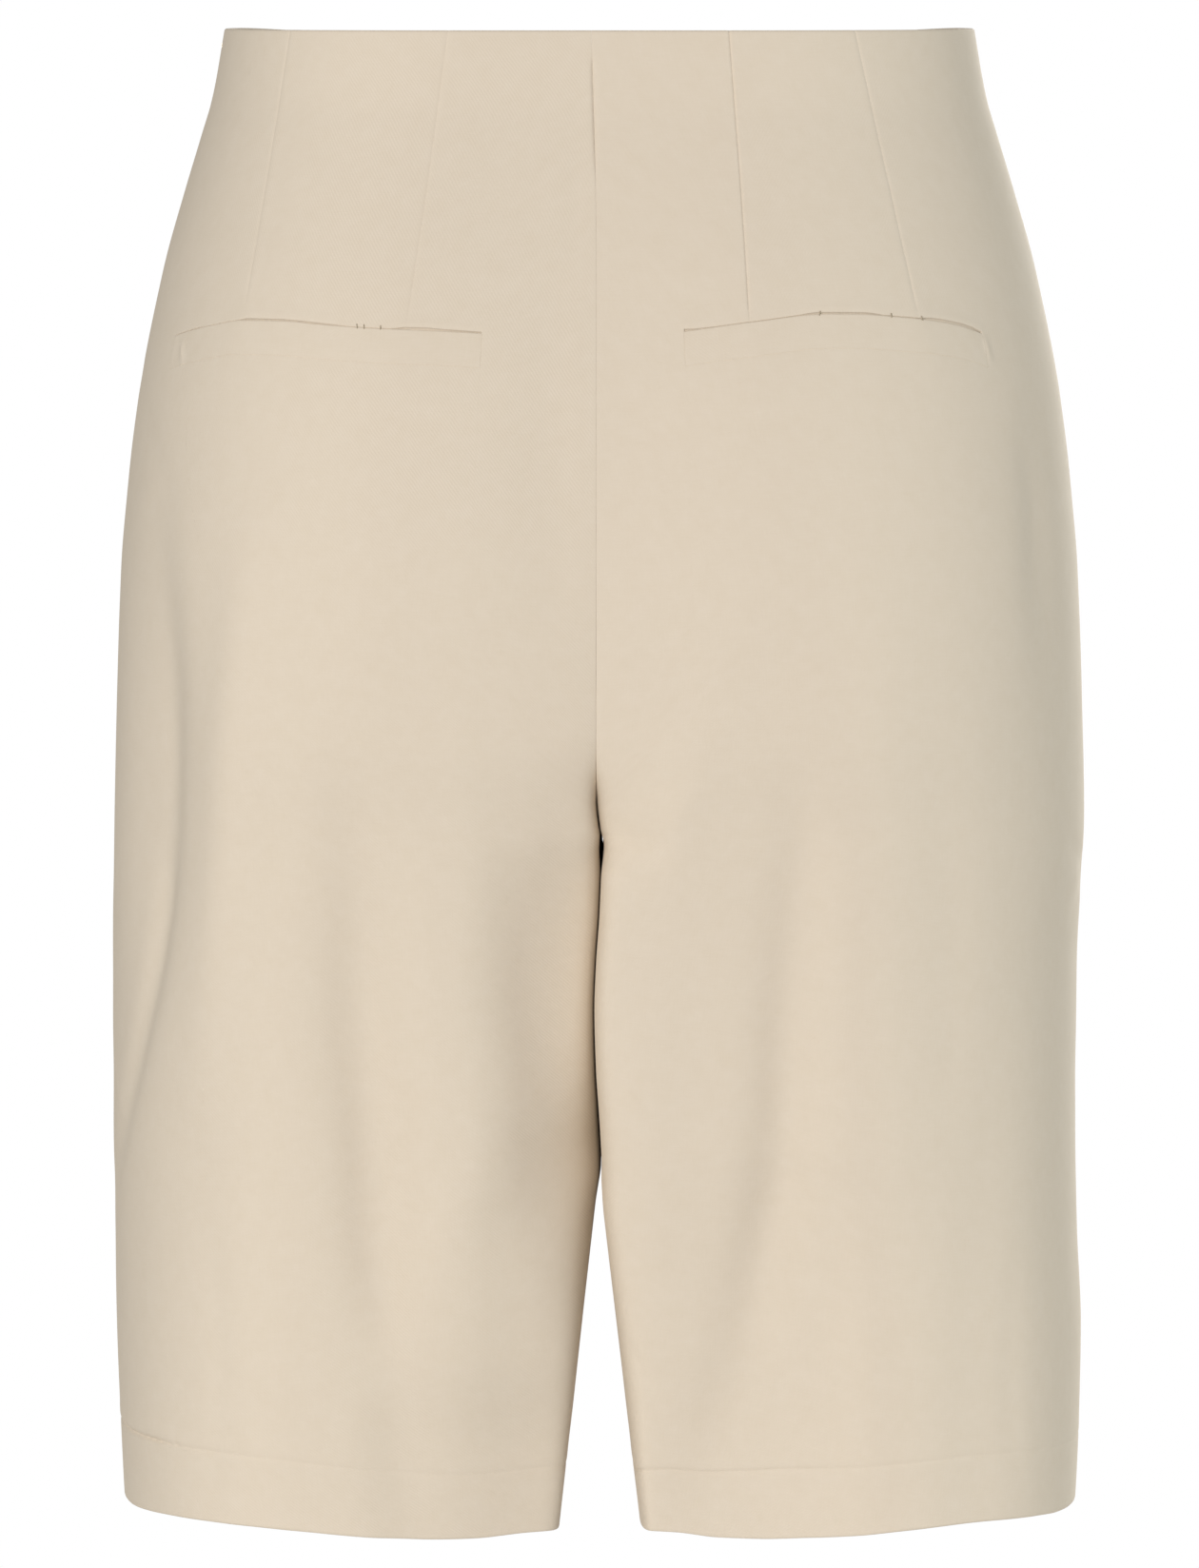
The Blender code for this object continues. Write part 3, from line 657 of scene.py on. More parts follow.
@dataclass(frozen=True)
class Crease:
    """A soft trough along a path on a panel, or a ridge where its depth is negative.

    Attributes:
        path: x and z of a few points, in mm.
        reach: Distance to either side over which it fades, in mm.
        depth: Depth at its middle, in mm.
        lean: From -1 to 1. The side towards the side seam is steeper where it is positive.
        crisp: Power of the profile, 2 for a round bottom and less for a sharp one.
    """

    path: Rows
    reach: float
    depth: float
    lean: float = 0.0
    crisp: float = 2.0


@dataclass(frozen=True)
class Dart:
    """A dart, in mm.

    Attributes:
        x0: x of its upper end.
        z0: z there.
        x1: x of its tip.
        z1: z there.
        depth: Depth of its groove.
    """

    x0: float
    z0: float
    x1: float
    z1: float
    depth: float


@dataclass(frozen=True)
class PanelPattern:
    """What is particular to one panel.

    Attributes:
        darts: Its darts, from the side seam inwards.
        folds: The large folds, which its solid has too.
        creases: The finer creases in and between them.
        hem_line: Share of the way to the inseam, and depth in mm of the stitched hem line there.
        line_rise: Share of the way to the inseam, and mm by which the line lies above its height.
    """

    darts: tuple[Dart, ...]
    folds: tuple[Crease, ...]
    creases: tuple[Crease, ...]
    hem_line: Rows
    line_rise: Rows = ((0, 0), (1, 0))


PATTERNS = {
    "back_left": PanelPattern(
        darts=(Dart(110, 0, 126, -100, 0.16), Dart(52, 0, 68, -107, 0.2)),
        folds=(
            Crease(((161, -150), (154, -262), (173, -425)), 13, 1),
            Crease(((122, -190), (123, -360), (120, -640)), 19, -1.6),
            Crease(((92, -215), (86, -370), (60, -600)), 13, 2.6),
            Crease(((52, -250), (52, -385), (44, -540)), 18, -1.5),
            Crease(((39, -190), (35, -285), (12, -400)), 12, 0.8),
        ),
        creases=(
            Crease(
                ((124, -165), (126, -205), (130, -250), (133, -290), (138, -340), (146, -400)), 13, -3.2,
            ),
            Crease(
                ((161, -165), (158, -212), (158, -247), (160.5, -280), (163, -314), (168, -348),
                 (175, -385)), 23, 6, -0.4,
            ),
            Crease(
                ((86, -240), (84, -275), (83, -309), (82, -342), (79, -385), (75, -444), (71, -490),
                 (62, -600)), 15, 4.4,
            ),
            Crease(((157, -200), (157, -250), (157.5, -285), (160, -320), (165, -354)), 9, 1),
            Crease(((160, -290), (161.5, -320), (166, -354), (171.5, -388), (178, -425)), 8.5, 2.6),
            Crease(((60, -250), (56, -340), (50, -420), (44, -510)), 13, -1.2),
            Crease(((15, -60), (18, -140), (13, -222)), 11, 0.8),
            Crease(((149.4, -111), (149.5, -115.5), (149, -120.4)), 1.5, -0.45),
            Crease(((12, -252), (38, -242), (66, -216)), 8, 0.55, 0.3),
            Crease(((88, -300), (74, -380), (66, -440)), 7, 0.45),
            Crease(((140, -420), (136, -480), (140, -545)), 6, 0.5, 0.4),
            Crease(((168, -120), (160, -150), (150, -172)), 6, 0.35),
            Crease(((2, -12), (2.6, -36), (4.6, -60), (7, -82)), 4, 1.1, -0.5, 1.7),
        ),
        hem_line=(
            (0, 0.2), (0.1, 0.5), (0.17, 1.2), (0.3, 1.5), (0.36, 0.45), (0.6, 0.2), (0.8, 0.25), (1, 0.1),
        ),
        line_rise=(
            (0, 6.5), (0.17, 6.1), (0.25, 5), (0.34, 3.5), (0.4, 2.7), (0.48, 2.4), (0.6, 0.7), (0.7, 0),
            (1, 0),
        ),
    ),
    "back_right": PanelPattern(
        darts=(Dart(92, 0, 114, -104, 0.24), Dart(48, 0, 54, -106, 0.5)),
        folds=(
            Crease(((155, -125), (158, -175), (160, -240)), 15, 1.6),
            Crease(((88, -190), (90, -360), (92, -640)), 20, -1.6),
            Crease(((74, -250), (66, -390), (30, -540)), 13, 2.2),
            Crease(((22, -310), (20, -395), (26, -480)), 11, -1.3),
            Crease(((138, -330), (136, -440), (132, -660)), 17, 1.9),
        ),
        creases=(
            Crease(
                ((76, -240), (72, -275), (69, -309), (67, -376), (64, -410), (57, -444), (50, -477),
                 (30, -545)), 11, 2.6,
            ),
            Crease(((95, -170), (96, -250), (98, -340), (98, -430), (97, -530), (96, -600)), 18, -2.4),
            Crease(((60, -400), (54, -480), (51, -540), (50, -640)), 34, 8),
            Crease(((80, -400), (79, -460), (78, -530), (76, -640)), 26, 3),
            Crease(((137.6, -109), (138.6, -114), (140.6, -119.6)), 1.5, -0.6),
            Crease(((79, -330), (77, -420), (70, -500), (64, -560)), 7, -0.45),
            Crease(((8, -466), (14, -480), (23, -497)), 3, 0.6, 0.4, 1.5),
            Crease(((14, -212), (40, -236), (72, -222)), 9, 0.5),
            Crease(((10, -268), (34, -262), (62, -240)), 7, 0.4, 0.3),
            Crease(((150, -142), (156, -172), (154, -205)), 8, 0.5),
            Crease(((120, -240), (126, -330), (122, -420)), 9, 0.45),
            Crease(((168, -292), (176, -306), (170, -322)), 5, 0.7),
            Crease(((100, -420), (104, -490), (100, -556)), 7, 0.4, -0.3),
            Crease(((150, -430), (148, -490), (152, -545)), 6, 0.45),
        ),
        hem_line=((0, 0.15), (0.3, 0.2), (0.55, 0.3), (0.62, 0.55), (0.82, 0.6), (0.87, 0.2), (1, 0.2)),
        line_rise=((0, 0.5), (0.4, 1), (0.6, 1.3), (0.66, 1.4), (0.745, -0.7), (0.83, -2), (1, -2)),
    ),
    "front_left": PanelPattern(
        darts=(Dart(84, -2, 80, -85, 0.24), Dart(46, -4, 46, -60, 0.24)),
        folds=(
            Crease(((146, -170), (138, -300), (150, -450)), 15, 3.4),
            Crease(((60, -185), (98, -265), (128, -345)), 13, 2.2),
            Crease(((44, -300), (54, -410), (50, -600)), 14, 2.8),
            Crease(((92, -280), (90, -420), (86, -650)), 17, -1.7),
        ),
        creases=(
            Crease(((8, -238), (34, -222), (66, -196)), 5, 0.7, 0.3, 1.6),
            Crease(((10, -262), (40, -252), (78, -232)), 4.5, 0.6, 0.3, 1.6),
            Crease(((60, -188), (84, -232), (104, -280), (126, -340)), 5.5, 0.6, -0.4, 1.7),
            Crease(((146, -190), (139, -280), (144, -380)), 5, 0.7, 0.4, 1.6),
            Crease(((48, -320), (54, -400), (52, -500)), 6, 0.6, -0.3),
            Crease(((70, -340), (74, -430), (70, -540)), 8, -0.5),
            Crease(((112, -380), (116, -450), (110, -530)), 6.5, 0.45),
            Crease(((20, -120), (24, -160), (22, -205)), 8, 0.35),
        ),
        hem_line=((0, 0.2), (0.3, 0.35), (0.55, 0.22), (0.8, 0.3), (1, 0.15)),
    ),
    "front_right": PanelPattern(
        darts=(Dart(84, -2, 80, -82, 0.24), Dart(46, -4, 46, -60, 0.24)),
        folds=(
            Crease(((150, -150), (144, -255), (154, -380)), 15, 2.8),
            Crease(((52, -200), (86, -285), (122, -375)), 14, 2.5),
            Crease(((48, -330), (58, -430), (56, -640)), 14, 2.4),
            Crease(((88, -240), (92, -400), (90, -640)), 18, -1.6),
        ),
        creases=(
            Crease(((9, -230), (38, -212), (62, -190)), 5, 0.6, 0.3, 1.6),
            Crease(((10, -256), (44, -250), (84, -238)), 4.5, 0.7, 0.3, 1.6),
            Crease(((54, -204), (78, -256), (98, -305), (120, -370)), 5.5, 0.7, -0.4, 1.7),
            Crease(((151, -165), (145, -250), (150, -330)), 5, 0.6, 0.4, 1.6),
            Crease(((50, -350), (58, -430), (56, -520)), 6, 0.6, -0.3),
            Crease(((104, -400), (108, -470), (103, -545)), 6.5, 0.45),
            Crease(((30, -370), (28, -430), (33, -500)), 7, -0.5),
            Crease(((22, -105), (26, -150), (23, -196)), 8, 0.3),
        ),
        hem_line=((0, 0.2), (0.25, 0.25), (0.5, 0.34), (0.75, 0.2), (1, 0.15)),
    ),
}


@dataclass(frozen=True)
class SmallRelief:
    """Small relief that pressing and sewing leave in every panel.

    Attributes:
        ripples: Height, size and seed of each soft ripple.
        waist_ripple: Share of the ripples' height that is left at the waist.
        ripple_ends: Depths below the waist between which they gain the rest.
        middle_calm: Distance from the middle plane over which folds and ripples fade in.
        side_calm: The same from the side seam.
        groove: Half width and power of a dart's groove.
        pressed: Height, distance and width of the ridge where a dart's intake is pressed over.
        fade_from: Share of a dart's length from which it fades.
        dimple: Height, half width and half length of the fullness at a dart's tip.
        facing: How far the facing lifts the top edge, and the blend below it.
        pucker: Height, size, stretch away from the seam and reach of the pucker at a seam.
        pucker_ends: Depths below the waist between which the pucker starts.
        side_dip: Depth and reach of the pressed side seam.
        back_dip: Depth, reach and power of the pressed centre back seam.
        back_dip_ends: Depths below the waist over which it comes in, and over which it dies out.
        stitch_line: Reach of the blind stitching's line, length of a stitch, and half the share of
            its depth that changes along a stitch.
        stitch_ridge: Height of the soft ridge above that line, as a share of the line's depth, and
            its distance and reach.
    """

    ripples: tuple[tuple[float, float, int], ...] = ((0.22 * MM, 47 * MM, 11), (0.10 * MM, 19 * MM, 5))
    waist_ripple: float = 0.25
    ripple_ends: Pair = (18 * MM, 60 * MM)
    middle_calm: float = 13 * MM
    side_calm: float = 9 * MM
    groove: Pair = (0.5 * MM, 1.7)
    pressed: Triple = (0.07 * MM, 2.2 * MM, 1.8 * MM)
    fade_from: float = 0.9
    dimple: Triple = (0.28 * MM, 7 * MM, 16 * MM)
    facing: Pair = (0.12 * MM, 3 * MM)
    pucker: tuple[float, float, float, float] = (0.07 * MM, 7 * MM, 0.2, 5 * MM)
    pucker_ends: Pair = (20 * MM, 40 * MM)
    side_dip: Pair = (0.08 * MM, 2.6 * MM)
    back_dip: Triple = (0.6 * MM, 0.8 * MM, 1.5)
    back_dip_ends: tuple[float, float, float, float] = (8 * MM, 13 * MM, 38 * MM, 58 * MM)
    stitch_line: Triple = (0.75 * MM, 5.5 * MM, 0.22)
    stitch_ridge: Triple = (0.22, 3.2 * MM, 2.2 * MM)


@dataclass(frozen=True)
class PocketCut:
    """A single-welt pocket, sewn shut with a few tacks.

    Attributes:
        ends_x: x of the welt's inner and outer ends, in mm.
        rise: Share of the way from the inner end, and height of the slit there, in mm.
        gape: Share of the way from the inner end, and how far the slit stands open there, in mm.
        tacks: Shares of the way from the inner end at which a stitch holds the slit shut.
        top_z: Height from which the slit's own height counts.
        height: Height of the welt.
        recess: How far the panel is sunk behind the welt.
        foot_z: Distance below the slit at which the panel's own face goes on.
        bend_ends: Distances from the slit between which its arch dies out in the rows.
        gape_reach: Distance above the slit over which the cloth is drawn up where it gapes.
        end_blend: Half width of the step at the pocket's ends.
        open_at: Gape, in mm, from which the slit's lip stands free.
        lip: Distance of the lip's edge above the slit, and thickness of its round.
        raised: Height, distance and reach of the ridge above the lip.
        foot: Depth and reach of the dip along the welt's lower seam.
        beside: Share of the slit beyond its ends over which the ridge dies out.
    """

    ends_x: Pair
    rise: Rows
    gape: Rows
    tacks: Steps
    top_z: float = -110 * MM
    height: float = 12 * MM
    recess: float = 0.95 * MM
    foot_z: float = 12.04 * MM
    bend_ends: Pair = (18 * MM, 70 * MM)
    gape_reach: float = 4 * MM
    end_blend: float = 0.05 * MM
    open_at: float = 0.55
    lip: Pair = (0.03 * MM, 0.7 * MM)
    raised: Triple = (0.16 * MM, 1.9 * MM, 1.6 * MM)
    foot: Pair = (0.06 * MM, 0.4 * MM)
    beside: float = 0.02

    @property
    def span(self) -> float:
        """Width from the inner end to the outer one."""
        return (self.ends_x[1] - self.ends_x[0]) * MM

    def slit_z(self, across: Array) -> Array:
        """Height of the slit at a share of the way from its inner end."""
        shares, heights = np.array(self.rise).T
        return self.top_z + through_rows(np.clip(across, 0.0, 1.0), shares, heights * MM)


POCKETS = {
    Side.LEFT: PocketCut(
        ends_x=(41, 152),
        rise=(
            (0, 3.4), (0.1, 4.2), (0.25, 4.9), (0.4, 6), (0.55, 7.2), (0.68, 7), (0.78, 5.4),
            (0.9, 2.9), (1, 0.5),
        ),
        gape=(
            (0, 0.35), (0.1, 0.45), (0.14, 0.8), (0.2, 0.6), (0.23, 0.1), (0.36, 0.08), (0.4, 0.3),
            (0.55, 0.42), (0.66, 0.5), (0.7, 0.06), (0.84, 0.05), (0.87, 0.2), (1, 0.1),
        ),
        tacks=(0.262, 0.306, 0.325),
    ),
    Side.RIGHT: PocketCut(
        ends_x=(31, 137),
        rise=(
            (0, 4), (0.2, 7.3), (0.42, 10), (0.53, 9.8), (0.64, 8.8), (0.8, 6.8), (0.9, 4.9), (1, 1.9),
        ),
        gape=(
            (0, 0.7), (0.03, 0.3), (0.12, 0.12), (0.34, 0.16), (0.38, 0.5), (0.57, 0.5), (0.61, 0.2),
            (0.74, 0.26), (0.79, 0.8), (0.96, 0.9), (1, 0.4),
        ),
        tacks=(0.406, 0.637, 0.745),
    ),
}


def at_share(values: Rows, across: Array) -> Array:
    """Reads a pocket's or a hem's small table at each share of the way, evenly between its rows."""
    shares, amounts = zip(*values)
    return np.interp(across, shares, amounts)


def ripple(u: Array, v: Array, size: float, seed: int) -> Array:
    """Smooth, uneven ripple from -1 to 1, with bumps about as wide as size.

    Args:
        u: Places in one direction.
        v: Places in the other.
        size: Width of a bump.
        seed: Of the bumps' heights.

    Returns:
        The ripple at each place.
    """
    cells = 64
    lattice = np.random.default_rng(seed).uniform(-1.0, 1.0, (cells, cells))
    a, b = u / size, v / size
    i, j = np.floor(a).astype(int), np.floor(b).astype(int)
    p, q = smooth_step(a - i, 0.0, 1.0), smooth_step(b - j, 0.0, 1.0)
    i0, i1, j0, j1 = i % cells, (i + 1) % cells, j % cells, (j + 1) % cells
    near = lattice[i0, j0] * (1 - p) + lattice[i1, j0] * p
    far = lattice[i0, j1] * (1 - p) + lattice[i1, j1] * p
    return near * (1 - q) + far * q


def round_edge(distance: Array, thickness: Array | float) -> Array:
    """How far a turned edge falls away, at a distance from it, for cloth of a thickness.

    Args:
        distance: From the edge.
        thickness: Of the cloth.

    Returns:
        The fall at each distance.
    """
    radius = np.asarray(thickness) / 2
    left = np.clip(radius - distance, 0.0, radius)
    return radius - np.sqrt(radius**2 - left**2)


# ---- The surface that every cloth piece lies on ----
@dataclass
class Places:
    """Places on a panel, and what the cut says about them.

    Attributes:
        z: Heights.
        share: Shares of the way from the side seam to the inner end.
        at: Distances from the side seam along the level curve.
        length: Lengths of the level curves.
        points: Points on the plain form, with x from the middle plane outwards.
        normals: Outward normals there.
    """

    z: Array
    share: Array
    at: Array
    length: Array
    points: Array
    normals: Array


class PanelForm:
    """Surface of one panel, from a table of level curves."""

    TORSO_CURVES = 420
    LEG_CURVES = 200
    ARC_POINTS = 400
    PLACES = 700
    BELOW_HEM = 8 * MM
    FOLD_POINTS = 90
    FOLDS_END = -544.0
    CREASE_POINTS = 48
    DART_POINTS = 40
    FOLD_FADE = 1.2
    CREASE_FADE = 0.9
    CREASE_MARGIN = 3.2
    CREASE_LEAN = 0.45
    # Distances between the places from which a normal is read: across, in columns of the tables,
    # and down, as a share of the way to the crotch's height, within limits.
    STEP_ACROSS = 1.5
    STEP_DOWN = 0.03
    STEP_LIMITS = (0.02 * MM, 0.9 * MM)
    RELIEF = SmallRelief()

    def __init__(self, cut: Cut, face: Face, side: Side) -> None:
        """Works out the form's tables and lays out its folds, creases and darts.

        Args:
            cut: The garment's sizes.
            face: Front or back.
            side: Wearer's left or right.
        """
        self.cut = cut
        self.face = face
        self.side = side
        self.name = f"{face.value}_{side.word}"
        self.pattern = PATTERNS[self.name]
        self.turn = 1.0 if face is Face.BACK else -1.0
        torso = -cut.rise * np.sin(np.linspace(0.0, math.pi / 2, self.TORSO_CURVES))
        leg = np.linspace(-cut.rise, -cut.outseam - self.BELOW_HEM, self.LEG_CURVES)[1:]
        self.heights = np.concatenate([torso, leg])
        self._fill_tables()
        self._trace_creases()

    def inner_y(self, z: Array) -> Array:
        """Y of the inner end: down the centre seam, under to the crotch, then down the inseam.

        Args:
            z: Heights.

        Returns:
            y at each height.
        """
        cut, seam = self.cut, CENTRE_SEAMS[self.face]
        dip = seam.dip_at_waist + (seam.dip - seam.dip_at_waist) * smooth_step(-z, 0.0, -seam.turn_z)
        reach = np.abs(cut.level(self.face.value, z) - cut.middle_y) - dip
        under = np.clip((seam.turn_z - z) / (seam.turn_z + cut.rise), 0.0, 1.0)
        fall = (1 - under**seam.power) ** (1 / seam.power)
        return cut.middle_y + self.turn * np.maximum(reach * fall, cut.half_seam)

    def curves(self, z: Array) -> tuple[Array, Array, Array]:
        """Level curves from the side seam to the inner end.

        Args:
            z: A height for each curve.

        Returns:
            x, y and distance from the side seam, a row for each curve.
        """
        cut = self.cut
        z = np.atleast_1d(z)[:, None]
        quarter = np.linspace(0.0, 1.0, self.ARC_POINTS)[None, :]
        outer = cut.level(self.side.word, z)
        crown = cut.level("crown", z)
        depth = cut.level(self.face.value, z) - cut.middle_y
        front_depth = cut.level("front", z) - cut.middle_y
        front_power = cut.outer_square_front
        seam_angle = np.arcsin((cut.side_forward / np.abs(front_depth)) ** (front_power / 2))

        def outer_quarter(angle: Array, reach: Array, power: float) -> tuple[Array, Array]:
            """x and y along the outer curve, a superellipse."""
            x = crown + (outer - crown) * np.cos(angle).clip(0) ** (2 / power)
            return x, cut.middle_y + reach * np.sin(angle).clip(0) ** (2 / power)

        if self.face is Face.BACK:
            square = cut.outer_square_left if self.side is Side.LEFT else cut.outer_square_right
            lead = outer_quarter(seam_angle * (1 - quarter[:, ::4]), front_depth, front_power)
            arc = outer_quarter(quarter[:, 1:] * math.pi / 2, depth, square)
            xs, ys = [lead[0], arc[0]], [lead[1], arc[1]]
            power = cut.level("square_" + self.side.word, z)
        else:
            angle = seam_angle + (math.pi / 2 - seam_angle) * quarter
            arc = outer_quarter(angle, front_depth, front_power)
            xs, ys = [arc[0]], [arc[1]]
            power = np.full_like(z, cut.inner_square_front)
        ratio = (self.inner_y(z) - cut.middle_y) / depth
        # Even steps in x as far as the corner, and from there even steps in y.
        last = (1 - ratio**power) ** (1 / power)
        corner_x = np.minimum(0.5 ** (1 / power), last)
        corner_y = (1 - corner_x**power) ** (1 / power)
        half = np.linspace(0.0, 1.0, self.ARC_POINTS // 2)[None, 1:]
        back_x, side_y = corner_x * half, corner_y + (ratio - corner_y) * half
        across = np.concatenate([back_x, (1 - side_y**power) ** (1 / power)], axis=1)
        along = np.concatenate([(1 - back_x**power) ** (1 / power), side_y], axis=1)
        inner_x = crown - (crown - cut.inner_x(z)) / last * across
        xs.append(inner_x)
        ys.append(cut.middle_y + (depth - self._hollow(z, inner_x)) * along)
        x, y = np.concatenate(xs, axis=1), np.concatenate(ys, axis=1)
        steps = np.hypot(np.diff(x, axis=1), np.diff(y, axis=1))
        return x, y, np.concatenate([np.zeros((len(x), 1)), np.cumsum(steps, axis=1)], axis=1)

    def _hollow(self, z: Array, x: Array) -> Array | float:
        """How far a back sinks in beside its inner end.

        Args:
            z: Heights.
            x: Distances from the middle plane.

        Returns:
            The depth at each place, or 0 on a front.
        """
        if self.face is Face.FRONT:
            return 0.0
        reach = HOLLOW.read(f"reach_{self.side.word}", z)
        return HOLLOW.read(self.side.word, z) * (1 - smooth_step(x, 0.0, reach))

    def at_x(self, z: Array, x: Array) -> tuple[Array, Array]:
        """Distance along the level curve at each z to where it passes x, and the curve's length.

        Args:
            z: Heights.
            x: An x for each height.

        Returns:
            A distance and a length for each height.
        """
        xs, _, runs = self.curves(z)
        at = np.empty(len(xs))
        for row in range(len(xs)):
            widest = int(np.argmax(xs[row]))
            at[row] = np.interp(-x[row], -xs[row, widest:], runs[row, widest:])
        return at, runs[:, -1]

    def _fill_tables(self) -> None:
        """Reads the level curves at shares of their length.

        Above the seat the shares are even. Further down, one of them keeps to the visible inner
        corner, so that the length that the curves gain at the crotch is taken up behind it.
        """
        cut = self.cut
        xs, ys, runs = self.curves(self.heights)
        self.lengths = runs[:, -1]
        turned = smooth_step(-self.heights, -cut.corner_from, cut.rise)
        inner_x = cut.inner_x(self.heights) + cut.corner_x
        even = cut.corner_share * self.lengths
        corner = (even + (self.at_x(self.heights, inner_x)[0] - even) * turned)[:, None]
        share = np.linspace(0.0, 1.0, self.PLACES)[None, :]
        before = np.minimum(share / cut.corner_share, 1.0)
        after = np.maximum((share - cut.corner_share) / (1 - cut.corner_share), 0.0)
        self.at_table = corner * before + (self.lengths[:, None] - corner) * after
        self.x_table = np.array([np.interp(a, r, v) for a, r, v in zip(self.at_table, runs, xs)])
        self.y_table = np.array([np.interp(a, r, v) for a, r, v in zip(self.at_table, runs, ys)])

    def _trace_creases(self) -> None:
        """Lays the folds' and creases' paths out on the panel, as distances from the side seam."""
        self.fold_tracks = []
        for one in self.pattern.folds:
            (x0, z0), (x1, z1), (x2, z2) = one.path
            z = np.linspace(z0, max(z2, self.FOLDS_END), self.FOLD_POINTS)
            x = x0 * (z - z1) * (z - z2) / ((z0 - z1) * (z0 - z2))
            x += x1 * (z - z0) * (z - z2) / ((z1 - z0) * (z1 - z2))
            x += x2 * (z - z0) * (z - z1) / ((z2 - z0) * (z2 - z1))
            strength = np.sin(math.pi * np.clip((z - z0) / (z2 - z0), 0.0, 1.0)) ** self.FOLD_FADE
            self.fold_tracks.append((z * MM, self.at_x(z * MM, x * MM)[0], strength))
        self.crease_tracks = []
        for one in self.pattern.creases:
            path = curve_through(np.array(one.path), self.CREASE_POINTS)
            at, _ = self.at_x(path[:, 1] * MM, path[:, 0] * MM)
            self.crease_tracks.append(np.stack([at, path[:, 1] * MM], axis=1))
        self.dart_tracks = []
        for dart in self.pattern.darts:
            z = np.linspace(0.0, dart.z1, self.DART_POINTS)
            down = np.clip((dart.z0 - z) / (dart.z0 - dart.z1), 0.0, 1.0)
            at, length = self.at_x(z * MM, (dart.x0 + (dart.x1 - dart.x0) * down) * MM)
            self.dart_tracks.append((z * MM, at, at / length))

    def _weights(self, z: Array, share: Array) -> Weights:
        """Rows, columns and weights with which the tables are read.

        Args:
            z: Heights.
            share: Shares of the way from the side seam to the inner end.

        Returns:
            Rows, columns, and the shares of the next row and column.
        """
        row = np.clip(np.searchsorted(-self.heights, -z) - 1, 0, len(self.heights) - 2)
        down = np.clip((self.heights[row] - z) / (self.heights[row] - self.heights[row + 1]), 0.0, 1.0)
        place = np.clip(share, 0.0, 1.0) * (self.PLACES - 1)
        column = np.minimum(place.astype(int), self.PLACES - 2)
        return row, column, down, place - column

    @staticmethod
    def _read(table: Array, weights: Weights) -> Array:
        """Reads a table between its rows and columns.

        Args:
            table: A table of this form.
            weights: Where it is read.

        Returns:
            A value for each place.
        """
        row, column, down, along = weights
        above = table[row, column] * (1 - along) + table[row, column + 1] * along
        below = table[row + 1, column] * (1 - along) + table[row + 1, column + 1] * along
        return above * (1 - down) + below * down

    def places(self, z: Array, share: Array) -> Places:
        """Places on the plain form, at heights z and shares of the way to the inner end.

        Args:
            z: Heights.
            share: Shares of the way from the side seam to the inner end.

        Returns:
            The places, with their points and normals.
        """
        weights = self._weights(z, share)
        x, y = self._read(self.x_table, weights), self._read(self.y_table, weights)
        # Near the crotch the lines down the panel slide along the level curves, so the step is small.
        step = self.STEP_ACROSS / self.PLACES
        rise = np.clip(np.abs(z + self.cut.rise) * self.STEP_DOWN, *self.STEP_LIMITS)
        tangents = []
        for dz, ds in ((0.0, step), (-rise, 0.0)):
            low_share, high_share = np.clip(share - ds, 0, 1), np.clip(share + ds, 0, 1)
            high_z, low_z = np.minimum(z - dz, 0.0), np.maximum(z + dz, self.heights[-1])
            one, two = self._weights(high_z, low_share), self._weights(low_z, high_share)
            dx = self._read(self.x_table, two) - self._read(self.x_table, one)
            dy = self._read(self.y_table, two) - self._read(self.y_table, one)
            tangents.append(np.stack([dx, dy, low_z - high_z], axis=-1))
        normals = -self.turn * np.cross(tangents[0], tangents[1])
        normals /= np.maximum(np.linalg.norm(normals, axis=-1, keepdims=True), 1e-12)
        at = self._read(self.at_table, weights)
        length = np.interp(-z, -self.heights, self.lengths)
        return Places(z, share, at, length, np.stack([x, y, z], axis=-1), normals)

    def hem(self, share: Array) -> Array:
        """Height of the hem."""
        shares, rises = np.array(HEM_RISE[self.face, self.side]).T
        return through_rows(share, shares, rises * MM) - self.cut.outseam

    def relief(self, spots: Places) -> Array:
        """How far the cloth stands out of the plain form, or in where negative.

        Args:
            spots: Places on the plain form.

        Returns:
            A distance for each place.
        """
        small, z, at = self.RELIEF, spots.z, spots.at
        out = np.zeros_like(z)
        for one, (heights, track, strength) in zip(self.pattern.folds, self.fold_tracks):
            off = at - np.interp(-z, -heights, track)
            here = np.interp(-z, -heights, strength, left=0, right=strength[-1])
            out -= one.depth * MM * here * bell(off, one.reach * MM)
        for one, track in zip(self.pattern.creases, self.crease_tracks):
            out -= self._crease(one, track, at, z)
        faced = smooth_step(-z, *small.ripple_ends)
        rippled = sum(height * ripple(at, z, size, seed) for height, size, seed in small.ripples)
        out += rippled * (small.waist_ripple + (1 - small.waist_ripple) * faced)
        out *= smooth_step(spots.points[..., 0], 0.0, small.middle_calm)
        out *= smooth_step(at, 0.0, small.side_calm)
        out += self._seams(spots) + self._darts(spots) + self._hem_line(spots)
        lifted, blend = small.facing
        turned = 1 - smooth_step(-z - self.cut.top_turn, -blend, blend)
        return out + lifted * turned

